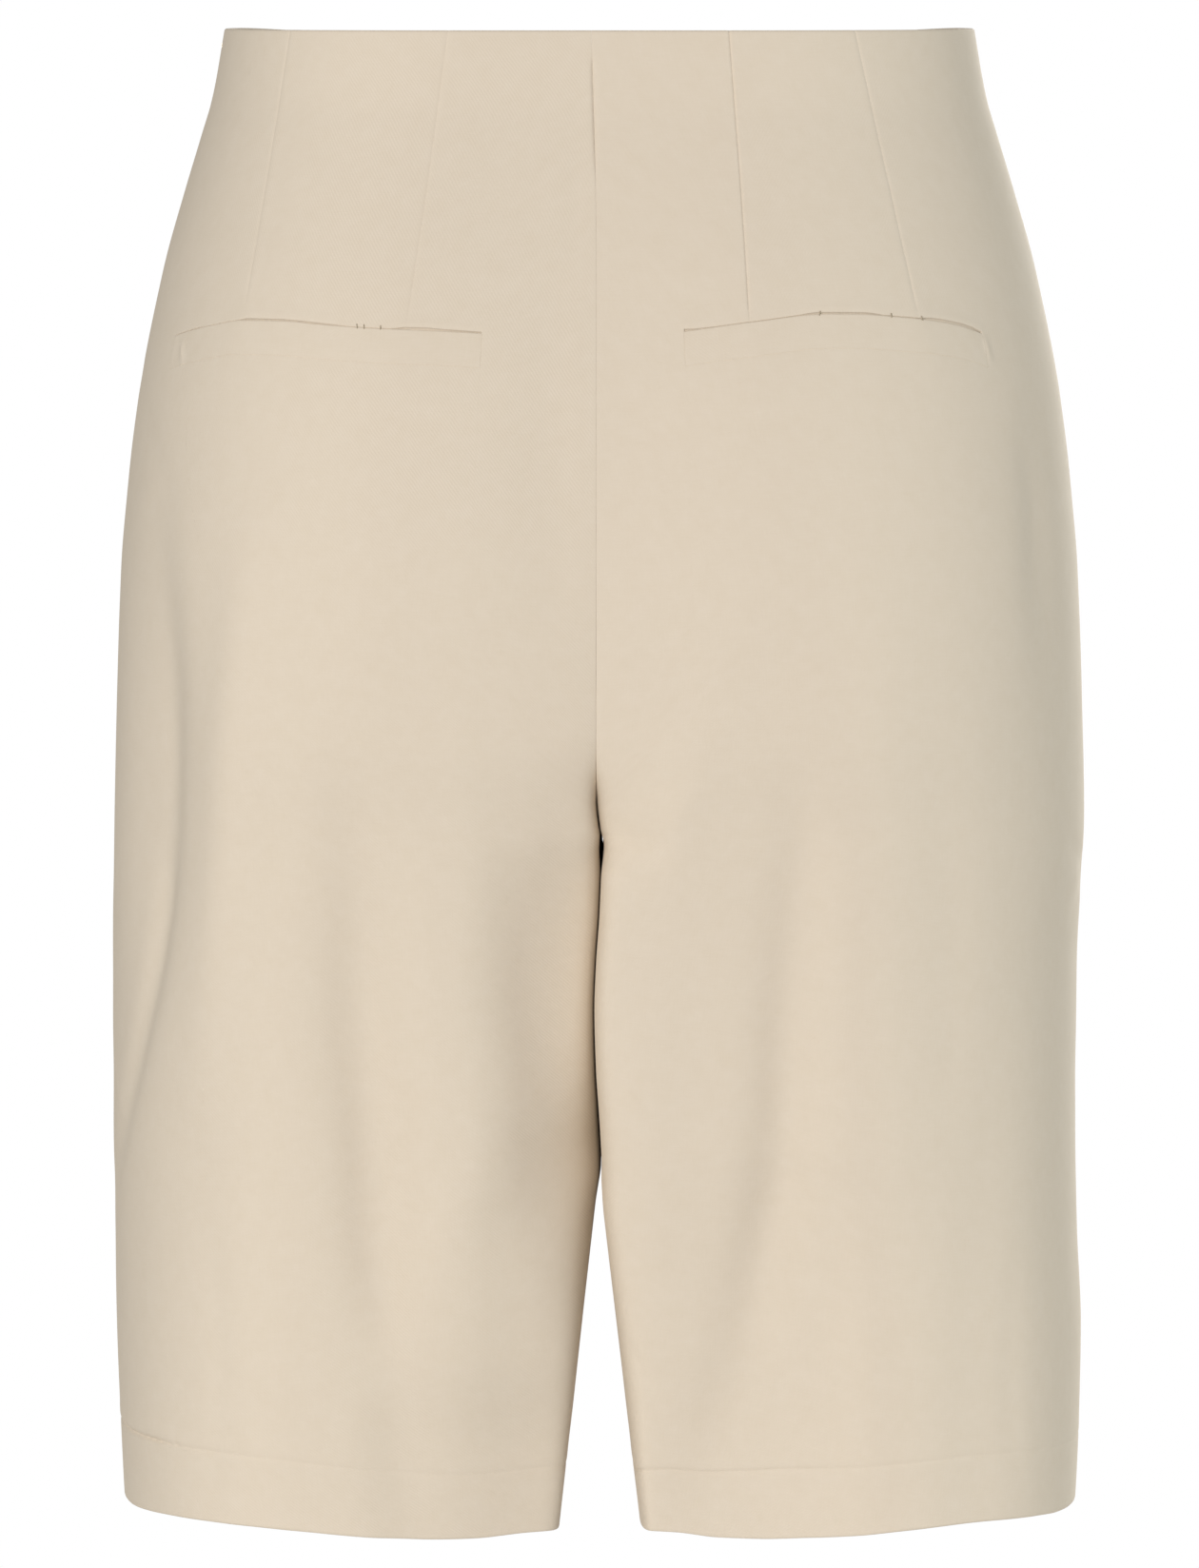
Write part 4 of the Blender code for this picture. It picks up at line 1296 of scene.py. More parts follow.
    def _darts(self, spots: Places) -> Array:
        """Groove of each dart, the ridge of its pressed intake and the fullness at its tip.

        Args:
            spots: Places on the plain form.

        Returns:
            How far they stand out at each place.
        """
        small, z = self.RELIEF, spots.z
        half_width, power = small.groove
        pressed, pressed_at, pressed_reach = small.pressed
        dimple, across, down = small.dimple
        out = np.zeros_like(z)
        for dart, (heights, track, _) in zip(self.pattern.darts, self.dart_tracks):
            off = spots.at - np.interp(-z, -heights, track)
            tip = dart.z1 * MM
            groove = dart.depth * MM * np.exp(-np.abs(off / half_width) ** power)
            ridge = pressed * bell(off, pressed_reach, pressed_at)
            out += (ridge - groove) * (1 - smooth_step(-z, small.fade_from * -tip, -tip))
            out += dimple * bell(np.hypot(off / across, (z - tip) / down), 1.0)
        return out

    def _crease(self, one: Crease, track: Array, at: Array, z: Array) -> Array:
        """Depth of one crease at each place.

        Args:
            one: The crease.
            track: Its path, as distances from the side seam and heights.
            at: Distances from the side seam.
            z: Heights.

        Returns:
            A depth for each place.
        """
        depth = np.zeros_like(z)
        reach = one.reach * MM
        margin = self.CREASE_MARGIN * reach
        low, high = track.min(axis=0) - margin, track.max(axis=0) + margin
        near = (at > low[0]) & (at < high[0]) & (z > low[1]) & (z < high[1])
        if not near.any():
            return depth
        spot = np.stack([at[near], z[near]], axis=-1)
        nearest = np.full(len(spot), np.inf)
        side = np.zeros(len(spot))
        along = np.zeros(len(spot))
        count = len(track) - 1
        for k in range(count):
            start, way = track[k], track[k + 1] - track[k]
            q = np.clip(((spot - start) @ way) / (way @ way), 0.0, 1.0)
            gap = spot - start - q[:, None] * way
            distance = np.hypot(gap[:, 0], gap[:, 1])
            closer = distance < nearest
            nearest = np.where(closer, distance, nearest)
            side = np.where(closer, gap[:, 0], side)
            along = np.where(closer, (k + q) / count, along)
        skew = 1 + self.CREASE_LEAN * one.lean * np.sign(side)
        fade = np.sin(math.pi * np.clip(along, 0.0, 1.0)) ** self.CREASE_FADE
        depth[near] = one.depth * MM * fade * np.exp(-((nearest / (reach * skew)) ** one.crisp))
        return depth

    def _seams(self, spots: Places) -> Array:
        """Pucker beside the seams, and the centre back seam's sharper dip below the waist.

        Args:
            spots: Places on the plain form.

        Returns:
            How far they stand out at each place.
        """
        small, z = self.RELIEF, spots.z
        left = np.maximum(spots.length - spots.at, 0.0)
        height, size, stretch, reach = small.pucker
        dip, dip_reach = small.side_dip
        out = -dip * bell(spots.at, dip_reach)
        for distance, seed in ((spots.at, 3), (left, 8)):
            pucker = ripple(distance * stretch, z, size, seed) * bell(distance, reach)
            out += height * pucker * smooth_step(-z, *small.pucker_ends)
        if self.face is Face.BACK:
            depth, reach, power = small.back_dip
            start, deep, rising, end = small.back_dip_ends
            here = smooth_step(-z, start, deep) * (1 - smooth_step(-z, rising, end))
            out -= depth * here * np.exp(-((left / reach) ** power))
        return out

    def line_rise(self, share: Array) -> Array:
        """How far the stitched hem line lies above its usual height."""
        return at_share(self.pattern.line_rise, share) * MM

    def _hem_line(self, spots: Places) -> Array:
        """Blind stitching that holds the hem, which draws the cloth in along its line.

        Args:
            spots: Places on the plain form.

        Returns:
            How far it stands out at each place.
        """
        reach, stitch, share = self.RELIEF.stitch_line
        ridge, ridge_at, ridge_reach = self.RELIEF.stitch_ridge
        above = spots.z - self.hem(spots.share) - self.cut.hem_turn - self.line_rise(spots.share)
        picks = 1 - share + share * np.cos(2 * math.pi * spots.at / stitch)
        shape = ridge * bell(above, ridge_reach, ridge_at) - bell(above, reach) * picks
        return shape * at_share(self.pattern.hem_line, spots.share) * MM

    def settle(self, spots: Places, out: Array) -> tuple[Array, Array]:
        """Moves places out along their normals and sets them on their own side.

        Args:
            spots: Places on the plain form.
            out: How far each is moved out.

        Returns:
            Points and normals on the wearer's own side.
        """
        points = spots.points + spots.normals * out[..., None]
        across = np.maximum(points[..., 0], self.cut.half_seam)
        middle = 1 - np.minimum(across / self.cut.level(self.side.word, spots.z), 1.0)
        points[..., 0] = self.side.sign * across + self.cut.stray(points[..., 1], spots.z) * middle
        normals = spots.normals * np.array([self.side.sign, 1.0, 1.0])
        return points, normals


# ---- Meshes ----
def cloth_shell(
    name: str, outer: Array, inner: Array, uv: Array, flip: bool, material: Material
) -> Object:
    """Closed shell of a fine outer grid and an inner one that has every second point.

    Args:
        name: Name of the new object.
        outer: Outer points, with odd numbers of rows and columns.
        inner: As many inner points, of which the edge ones are left out.
        uv: Place of each point on the flat cloth, in metres.
        flip: True where rows and columns run the other way round.
        material: The cloth.

    Returns:
        The new object, smoothly shaded.
    """
    rows, columns = outer.shape[:2]
    ids = np.arange(rows * columns).reshape(rows, columns)
    back = (ids + rows * columns)[::2, ::2]
    border = ids[::2, ::2]
    back[0], back[-1], back[:, 0], back[:, -1] = border[0], border[-1], border[:, 0], border[:, -1]
    quads = np.stack([ids[:-1, :-1], ids[1:, :-1], ids[1:, 1:], ids[:-1, 1:]], axis=-1).reshape(-1, 4)
    faces = [list(reversed(face)) if flip else face for face in quads.tolist()]
    last_row, last_column = back.shape[0] - 2, back.shape[1] - 2
    for r in range(last_row + 1):
        for c in range(last_column + 1):
            face = [back[r, c]]
            face += [ids[0, 2 * c + 1]] if r == 0 else []
            face += [back[r, c + 1]]
            face += [ids[2 * r + 1, -1]] if c == last_column else []
            face += [back[r + 1, c + 1]]
            face += [ids[-1, 2 * c + 1]] if r == last_row else []
            face += [back[r + 1, c]]
            face += [ids[2 * r + 1, 0]] if c == 0 else []
            faces.append([int(i) for i in (reversed(face) if flip else face)])
    points = np.concatenate([outer.reshape(-1, 3), inner.reshape(-1, 3)])
    flat = np.concatenate([uv.reshape(-1, 2)] * 2)
    used = np.unique(np.concatenate([np.array(face) for face in faces]))
    renumber = np.zeros(len(points), dtype=int)
    renumber[used] = np.arange(len(used))
    faces = [renumber[face].tolist() for face in faces]
    return new_mesh(name, points[used], faces, material, flat[used])


def new_mesh(
    name: str, points: Array, faces: list[list[int]], material: Material, uv: Array | None = None
) -> Object:
    """Makes a smoothly shaded object from points and faces.

    Args:
        name: Name of the new object.
        points: Its points.
        faces: Its faces, as lists of points.
        material: Its material.
        uv: Place of each point on the flat cloth, in metres, if it is cloth.

    Returns:
        The new object, linked to the scene.
    """
    mesh = bpy.data.meshes.new(name)
    mesh.from_pydata(points.tolist(), [], faces)
    if uv is not None:
        corners = np.empty(len(mesh.loops), dtype=np.int32)
        mesh.loops.foreach_get("vertex_index", corners)
        layer = mesh.uv_layers.new(name="cloth")
        layer.data.foreach_set("uv", uv[corners].astype(np.float32).ravel())
    mesh.shade_smooth()
    mesh.materials.append(material)
    made = bpy.data.objects.new(name, mesh)
    bpy.context.scene.collection.objects.link(made)
    log.info("%s: %d faces", name, len(faces))
    return made


def flat_places(points: Array, at: Array) -> Array:
    """Place of each point on the flat cloth: distance across, and length of cloth down its column.

    Args:
        points: A grid of points.
        at: Distance across of each point.

    Returns:
        A place for each point.
    """
    steps = np.linalg.norm(np.diff(points, axis=0), axis=-1)
    down = np.concatenate([np.zeros((1, points.shape[1])), np.cumsum(steps, axis=0)])
    return np.stack([at, -down], axis=-1)


# ---- Panels ----
@dataclass(frozen=True)
class Weave:
    """Spacing of a panel's mesh, in mm.

    Attributes:
        row_step: Usual distance of two rows.
        column_step: Usual distance of two columns.
        edge: Rows' distances from the top edge and the hem.
        seam: Columns' distances from the side seam and the inner end.
        line: Rows' distances from the inner edges of the turnings.
        dart: Columns' distances from a dart.
        end: Columns' distances from a pocket's end.
        lip: Rows' distances above the slit.
        under: Rows behind the welt, as distances above the slit.
        foot: Rows along the welt's lower seam, in the same way.
        counted_z: Depth below the waist at which the columns are counted out.
    """

    row_step: float = 2.3
    column_step: float = 1.62
    edge: Steps = (0.0, 0.07, 0.22, 0.5, 0.95, 1.5, 2.4, 3.8)
    seam: Steps = (0.0, 0.08, 0.22, 0.45, 0.85, 1.5, 2.5, 3.9)
    line: Steps = (-2.2, -1.2, -0.6, -0.25, 0.05, 0.4, 1.1, 2.2)
    dart: Steps = (-2.6, -1.5, -0.8, -0.4, -0.18, 0.0, 0.18, 0.4, 0.8, 1.5, 2.6, 3.9)
    end: Steps = (-2.6, -1.5, -0.8, -0.35, -0.06, 0.06, 0.35, 0.8, 1.5, 2.6)
    lip: Steps = (9.0, 6.6, 4.8, 3.4, 2.3, 1.5, 0.9, 0.5, 0.28, 0.12, 0.03, -0.03)
    under: Steps = (-1.4, -3.6, -6.0, -8.4, -10.4, -11.6, -11.96)
    foot: Steps = (-12.04, -12.14, -12.3, -12.6, -13.1, -13.9, -15.2, -17.2)
    counted_z: float = 110


@dataclass
class Panel:
    """A front or back of the shorts, from the waist to the hem.

    Attributes:
        form: The surface that it lies on.
        cloth: Its material.
        weave: Spacing of its mesh.
        level_to: Depth down to which its rows stay level.
        line_blend: Distance over which rows follow the hem line's own rise.
        turn_margin: How far past the turnings' edges in mm the cloth counts as turned.
        thinner: How much thinner the cloth is behind the welt.
        seam_fall: Depth and reach of the fall at a pressed seam.
    """

    form: PanelForm
    cloth: Material
    weave: Weave = Weave()
    level_to: float = 128 * MM
    line_blend: float = 20 * MM
    turn_margin: float = 0.1
    thinner: float = 0.4 * MM
    seam_fall: Pair = (0.05 * MM, 0.3 * MM)

    SEAM_SAMPLES = 1500

    @property
    def pocket(self) -> PocketCut | None:
        """The pocket in it, on a back."""
        return POCKETS[self.form.side] if self.form.face is Face.BACK else None

    def _row_marks(self) -> Array:
        """Distances down the side seam at which the rows start, in mm, with the pocket's own rows.

        Returns:
            The distances, in order.
        """
        weave, cut = self.weave, self.form.cut
        outseam, top, hem = cut.outseam / MM, cut.top_turn / MM, cut.hem_turn / MM
        fixed = [*weave.edge, *(top + step for step in weave.line)]
        fixed += [outseam - hem - step for step in weave.line]
        fixed += [outseam - step for step in weave.edge]
        if self.pocket:
            fixed += [-self.pocket.top_z / MM - q for q in (*weave.lip, *weave.under, *weave.foot)]
        return filled(fixed, weave.row_step)

    def pocket_ends(self) -> Array:
        """Shares of the way to the inner end at which the pocket starts and stops, inner one first.

        Returns:
            The two shares.
        """
        heights = np.full(2, self.pocket.top_z)
        at, length = self.form.at_x(heights, np.array(self.pocket.ends_x) * MM)
        return at / length

    def _column_shares(self, z: Array) -> Array:
        """Shares of each row's columns, drawn to the seams, the darts and the pocket's ends.

        Args:
            z: Height of each row.

        Returns:
            A share for each row and column.
        """
        weave = self.weave
        counted = np.interp(weave.counted_z * MM, -self.form.heights, self.form.lengths)
        length = float(counted) / MM
        knots = [(track[2][-1], weave.dart, track) for track in self.form.dart_tracks]
        if self.pocket:
            knots += [(end, weave.end, None) for end in self.pocket_ends()]
        knots.sort(key=lambda knot: knot[0])
        fixed = [step / length for step in weave.seam] + [1 - step / length for step in weave.seam]
        for end, steps, _ in knots:
            fixed += [end + step / length for step in steps]
        columns = filled(fixed, weave.column_step, length)
        counted_at = [0.0, *(knot[0] for knot in knots), 1.0]
        shares = np.empty((len(z), len(columns)))
        for row, height in enumerate(z):
            here = [
                end if track is None else float(np.interp(-height, -track[0], track[2]))
                for end, _, track in knots
            ]
            shares[row] = np.interp(columns, counted_at, [0.0, *here, 1.0])
        return shares

    def _heights(self, marks: Array, share: Array) -> Array:
        """Height of each point, a row for each mark. The rows turn under to the crotch at the seam.

        Args:
            marks: Distances of the rows down the side seam, in mm.
            share: Shares of the way from the side seam to the inner end.

        Returns:
            A height for each row and column.
        """
        cut, form = self.form.cut, self.form
        down, level_to = marks[:, None] * MM, self.level_to
        z = -cut.rise * np.sin(np.linspace(0.0, math.pi / 2, self.SEAM_SAMPLES))
        z = z[z <= -level_to]
        seam_run = np.concatenate([[0.0], np.cumsum(np.hypot(np.diff(z), np.diff(form.inner_y(z))))])
        torso = np.minimum(down, cut.rise)
        way = np.clip((torso - level_to) / (cut.rise - level_to), 0.0, 1.0)
        seam_z = np.where(torso > level_to, np.interp(way, seam_run / seam_run[-1], z), -torso)
        heights = -torso + (seam_z + torso) * share**2
        if form.face is Face.FRONT:
            drop = cut.front_drop * smooth_step(share, 0.0, 1.0)
            heights = heights - drop * (1 - torso / cut.rise) ** 2
        hem = form.hem(share)
        heights = heights + (hem + cut.rise) * np.clip((down - cut.rise) / cut.leg, 0.0, 1.0)
        near_line = bell(heights - hem - cut.hem_turn, self.line_blend) * (down > cut.rise)
        return heights + form.line_rise(share) * near_line

    def _from_slit(self, marks: Array, share: Array) -> tuple[Array, Array]:
        """Heights above the slit's plain row, and shares of the way along the pocket."""
        inner, outer = self.pocket_ends()
        return -self.pocket.top_z - marks[:, None] * MM, (share - inner) / (outer - inner)

    def _bend_to_slit(self, marks: Array, share: Array, z: Array) -> Array:
        """Bends the rows near the pocket to follow its arched slit and its gape.

        Args:
            marks: Distances of the rows down the side seam, in mm.
            share: Shares of the way from the side seam to the inner end.
            z: Height of each point.

        Returns:
            The points' new heights.
        """
        pocket = self.pocket
        above, across = self._from_slit(marks, share)
        arch = pocket.slit_z(across) - pocket.top_z
        away = np.abs(above)
        gape = at_share(pocket.gape, across) * MM * (1 - smooth_step(away, 0.0, pocket.gape_reach))
        return z + arch * (1 - smooth_step(away, *pocket.bend_ends)) + gape

    def _pocket_relief(self, marks: Array, share: Array) -> tuple[Array, Array]:
        """Recess that the welt lies in, and 1 where that is, 0 elsewhere.

        Args:
            marks: Distances of the rows down the side seam, in mm.
            share: Shares of the way from the side seam to the inner end.

        Returns:
            How far the cloth stands out, and where it is behind the welt.
        """
        pocket = self.pocket
        above, across = self._from_slit(marks, share)
        blend = (-pocket.end_blend, pocket.end_blend)
        inside = smooth_step(across * pocket.span, *blend)
        inside = inside * smooth_step((1 - across) * pocket.span, *blend)
        sunk = ((above < 0) & (above > -pocket.height)) * inside
        free = smooth_step(at_share(pocket.gape, across), 0.0, pocket.open_at)
        lip = round_edge(above - pocket.lip[0], pocket.lip[1]) * (above > 0) * free
        depth, reach = pocket.foot
        foot = depth * bell(above, reach, -pocket.foot_z) * (above < -pocket.height)
        height, distance, reach = pocket.raised
        near = smooth_step(across, -pocket.beside, 0.0) * smooth_step(1 - across, -pocket.beside, 0.0)
        raised = height * bell(above, reach, distance) * near * free
        return raised - sunk * pocket.recess - (lip + foot) * inside, sunk

    def build(self) -> None:
        form, cut = self.form, self.form.cut
        marks = self._row_marks()
        share = self._column_shares(-marks * MM)
        z = self._heights(marks, share)
        thin = np.zeros_like(z)
        pocket_out = np.zeros_like(z)
        if self.pocket:
            z = self._bend_to_slit(marks, share, z)
            pocket_out, thin = self._pocket_relief(marks, share)
        spots = form.places(z, share)
        out = form.relief(spots) + pocket_out
        top = cut.top_turn / MM + self.turn_margin
        hem = (cut.outseam - cut.hem_turn) / MM - self.turn_margin
        turned = (marks < top) | (marks > hem)
        thickness = np.where(turned, cut.turned_cloth, cut.cloth)[:, None] - thin * self.thinner
        down = marks[:, None] * MM
        edge_gap = np.minimum(down, cut.outseam - down)
        seam_gap = np.maximum(np.minimum(spots.at, spots.length - spots.at), 0.0)
        edge_fall = round_edge(edge_gap, thickness)
        seam_fall = self.seam_fall[0] * bell(seam_gap, self.seam_fall[1])
        outer, _ = form.settle(spots, out - np.maximum(edge_fall, seam_fall))
        back_fall = np.maximum(edge_fall, round_edge(seam_gap, cut.cloth))
        inner, _ = form.settle(spots, out - thickness + back_fall)
        uv = flat_places(outer, spots.at)
        flip = form.side.sign * form.turn > 0
        panel = cloth_shell(f"{form.name}_cloth", outer, inner, uv, flip, self.cloth)
        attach(panel, "garment")
        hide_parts(form.name)


# ---- Small cloth pieces ----
@dataclass
class Welt:
    """Narrow folded strip along a pocket's slit, lying in the back panel's recess.

    Attributes:
        panel: The back panel that it is sewn to.
        cloth: Its material.
        thickness: Of the folded strip.
        lift: How far it stands above the panel.
        lap: How far it runs under the panel at its ends and its foot.
        gap: Distance of its fold below the slit.
        edge: Distances of the edges' own rows and columns.
        inset: Distance of the first even row and column.
        rows: Count of the even rows.
        columns: Count of all columns.
        sag: Depth for each mm of gape, and reach, of its fold's sag.
        plump: Height of its body, and distance from its foot at which it is full.
        ripple: Height and size of its soft ripple.
        seeds: The ripple's seeds on the wearer's left and right.
        calm: Distance from its sewn edges over which the ripple fades in.
    """

    panel: Panel
    cloth: Material
    thickness: float = 0.86 * MM
    lift: float = 0.02 * MM
    lap: float = 0.06 * MM
    gap: float = 0.02 * MM
    edge: Steps = (0.0, 0.06 * MM, 0.18 * MM, 0.4 * MM, 0.75 * MM)
    inset: Pair = (1.6 * MM, 1.2 * MM)
    rows: int = 11
    columns: int = 181
    sag: Pair = (0.16 * MM, 2.2 * MM)
    plump: Pair = (0.08 * MM, 5 * MM)
    ripple: Pair = (0.10 * MM, 13 * MM)
    seeds: tuple[int, int] = (21, 22)
    calm: float = 3 * MM

    def _marks(self, size: float, inset: float, count: int) -> Array:
        """Distances of rows or columns across a size, with the edges' own ones."""
        edge = np.array(self.edge)
        return np.concatenate([edge, np.linspace(inset, size - inset, count), (size - edge)[::-1]])

    def build(self) -> None:
        form, pocket = self.panel.form, self.panel.pocket
        inner, outer = self.panel.pocket_ends()
        height, wide = pocket.height - self.gap + self.lap, pocket.span + 2 * self.lap
        down = self._marks(height, self.inset[0], self.rows)
        along = self._marks(wide, self.inset[1], self.columns - 2 * len(self.edge))
        run, fall = np.meshgrid(along, down)
        across = (run - self.lap) / pocket.span
        z = pocket.slit_z(across) - self.gap - fall
        spots = form.places(z, inner + (outer - inner) * across)
        sag = self.sag[0] * at_share(pocket.gape, across) * np.exp(-fall / self.sag[1])
        plump = self.plump[0] * smooth_step(height - fall, 0.0, self.plump[1])
        sewn = np.minimum(height - fall, np.minimum(run, wide - run))
        seed = self.seeds[0] if form.side is Side.LEFT else self.seeds[1]
        settled = self.ripple[0] * ripple(run, fall, self.ripple[1], seed)
        settled *= smooth_step(sewn, 0.0, self.calm)
        out = form.relief(spots) + self.lift + plump - sag + settled
        top_fall = round_edge(fall, self.thickness)
        rounded = np.maximum(top_fall, round_edge(sewn, self.thickness))
        face, _ = form.settle(spots, out - top_fall)
        back, _ = form.settle(spots, out - self.thickness + rounded)
        name, uv = f"welt_{form.side.word}", flat_places(face, run)
        welt = cloth_shell(f"{name}_cloth", face, back, uv, form.side is Side.LEFT, self.cloth)
        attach(welt, "garment")
        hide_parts(name)


@dataclass
class PocketBag:
    """Flat pocket bag, both layers, hanging inside a back panel.

    Attributes:
        panel: The back panel.
        cloth: Its material.
        top: Depth of its upper edge below the waist.
        bottom: Depth of its lower edge.
        inner_by: How far it reaches past the welt's inner end.
        outer_by: How far it stops short of the welt's outer end.
        behind: How far it hangs behind the panel's face.
        thickness: Of both layers.
        corner: Share of the half width from which the lower corners are rounded off.
        corner_rise: How far they rise, and the power of their round.
        rows: Count of rows.
        columns: Count of columns.
    """

    panel: Panel
    cloth: Material
    top: float = 98 * MM
    bottom: float = 256 * MM
    inner_by: float = 7 * MM
    outer_by: float = 6 * MM
    behind: float = 1.6 * MM
    thickness: float = 1.0 * MM
    corner: float = 0.72
    corner_rise: Pair = (20 * MM, 2.2)
    rows: int = 81
    columns: int = 61

    def build(self) -> None:
        form, pocket = self.panel.form, self.panel.pocket
        ends = np.array(pocket.ends_x) * MM + np.array([-self.inner_by, -self.outer_by])
        at, length = form.at_x(np.full(2, pocket.top_z), ends)
        down = self.top + (self.bottom - self.top) * np.linspace(0.0, 1.0, self.rows)
        shares = np.linspace(at[1] / length[1], at[0] / length[0], self.columns)
        share, z = np.meshgrid(shares, -down)
        out_by = np.abs(share - shares.mean()) / np.ptp(shares) * 2
        corner = np.clip((out_by - self.corner) / (1 - self.corner), 0.0, 1.0)
        rise, power = self.corner_rise
        z = z + rise * corner**power * smooth_step(-z, self.top, self.bottom)
        spots = form.places(z, share)
        out = form.relief(spots) - self.behind
        edge = np.zeros_like(z)
        edge[0] = edge[-1] = edge[:, 0] = edge[:, -1] = 1.0
        face, _ = form.settle(spots, out - edge * self.thickness / 2)
        back, _ = form.settle(spots, out - self.thickness + edge * self.thickness / 2)
        uv = flat_places(face, spots.at)
        name = f"pocket_bag_{form.side.word}"
        bag = cloth_shell(f"{name}_cloth", face, back, uv, form.side is Side.LEFT, self.cloth)
        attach(bag, "garment")
        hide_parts(name)


@dataclass
class ZipTape:
    """Both tapes of the concealed zip, and its coil, behind the wearer's left side seam.

    Attributes:
        back: Surface of the left back.
        front: Surface of the left front.
        cloth: The tapes' material.
        coil: The coil's material.
        start: Depth of its top end below the waist.
        length: Depth of its lower end.
        width: Of both tapes together.
        thickness: Of the tapes.
        clear: Distance from the cloth in front.
        turn_ends: Distances below the turning between which it comes closer to the panel's face.
        pitch: Distance of the coil's links.
        link: Half length, radius and set-back of a link.
        rows: Count of rows.
        columns: Count of columns on each tape.
    """

    back: PanelForm
    front: PanelForm
    cloth: Material
    coil: Material
    start: float = 3 * MM
    length: float = 183 * MM
    width: float = 24 * MM
    thickness: float = 1.0 * MM
    clear: float = 0.3 * MM
    turn_ends: Pair = (0.4 * MM, 2 * MM)
    pitch: float = 1.5 * MM
    link: Triple = (1.6 * MM, 0.5 * MM, 0.3 * MM)
    rows: int = 121
    columns: int = 5

    def build(self) -> None:
        cut = self.back.cut
        z = -np.linspace(self.start, self.length, self.rows)
        across = np.linspace(0.0, 1.0, self.columns) * self.width / 2
        turned = 1 - smooth_step(-z - cut.top_turn, *self.turn_ends)
        behind = (cut.cloth + (cut.turned_cloth - cut.cloth) * turned + self.clear)[:, None]
        faces, backs, seam = [], [], None
        for form, columns in ((self.front, slice(None, None, -1)), (self.back, slice(1, None))):
            length = np.interp(-z, -form.heights, form.lengths)
            grid_z = np.repeat(z[:, None], len(across), axis=1)
            spots = form.places(grid_z, across[None, :] / length[:, None])
            out = form.relief(spots) - behind
            for lift, rows in ((0.0, faces), (-self.thickness, backs)):
                rows.append(form.settle(spots, out + lift)[0][:, columns])
            seam = form.settle(spots, out - self.thickness)
        face, back = np.concatenate(faces, axis=1), np.concatenate(backs, axis=1)
        middle = (face + back) / 2
        for grid in (face, back):
            grid[0], grid[-1] = middle[0], middle[-1]
            grid[:, 0], grid[:, -1] = middle[:, 0], middle[:, -1]
        at = np.concatenate([-across[::-1], across[1:]])
        uv = flat_places(face, np.broadcast_to(at, face.shape[:2]))
        tape = cloth_shell("zip_tape_cloth", face, back, uv, False, self.cloth)
        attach(tape, "garment")
        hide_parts("zip_tape")
        coil = self._coil(seam[0][:, 0], seam[1][:, 0])

    def _coil(self, points: Array, normals: Array) -> Object:
        """The zip's nylon coil, as a row of small closed links down the middle of the tape.

        Args:
            points: Points down the middle of the tape.
            normals: Outward normals there.

        Returns:
            The coil.
        """
        run = np.concatenate([[0.0], np.cumsum(np.linalg.norm(np.diff(points, axis=0), axis=1))])
        count = int(run[-1] / self.pitch)
        at = (np.arange(count) + 0.5) * self.pitch
        centres, outward = (
            np.stack([np.interp(at, run, column) for column in rows.T], axis=1)
            for rows in (points, normals)
        )
        across = np.cross(outward, [0.0, 0.0, 1.0])
        across /= np.linalg.norm(across, axis=1, keepdims=True)
        half, radius, set_back = self.link
        middle = centres - outward * set_back
        starts, ends = middle - across * half, middle + across * half
        coil = thread_pieces("zip_coil", starts, ends, radius, self.coil)
        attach(coil, "garment")
        return coil


# ---- Threads ----
def thread_pieces(
    name: str, starts: Array, ends: Array, radius: float, material: Material
) -> Object:
    """Short round bars with tapered ends, joined into one mesh.

    Args:
        name: Name of the new object.
        starts: One end of each bar.
        ends: The other end of each.
        radius: Of the bars.
        material: What they are of.

    Returns:
        The new object.
    """
    sides = 8
    # Share of the length, and of the radius there, of each ring of points.
    rings = ((0.0, 0.55), (0.12, 0.95), (0.5, 1.0), (0.88, 0.95), (1.0, 0.55))
    turn = np.arange(sides) * 2 * math.pi / sides
    points, faces = [], []
    for start, end in zip(starts, ends):
        way = end - start
        along = way / np.linalg.norm(way)
        helper = np.array([0.0, 0.0, 1.0]) if abs(along[2]) < 0.8 else np.array([0.0, 1.0, 0.0])
        u = np.cross(along, helper)
        u /= np.linalg.norm(u)
        v = np.cross(along, u)
        base = len(points)
        for place, size in rings:
            ring = start + way * place
            points += [ring + radius * size * (math.cos(t) * u + math.sin(t) * v) for t in turn]
        for ring in range(len(rings) - 1):
            for k in range(sides):
                one, two = base + ring * sides + k, base + ring * sides + (k + 1) % sides
                faces.append([one, two, two + sides, one + sides])
        last = base + (len(rings) - 1) * sides
        faces.append([base + k for k in reversed(range(sides))])
        faces.append([last + k for k in range(sides)])
    return new_mesh(name, np.array(points), faces, material)


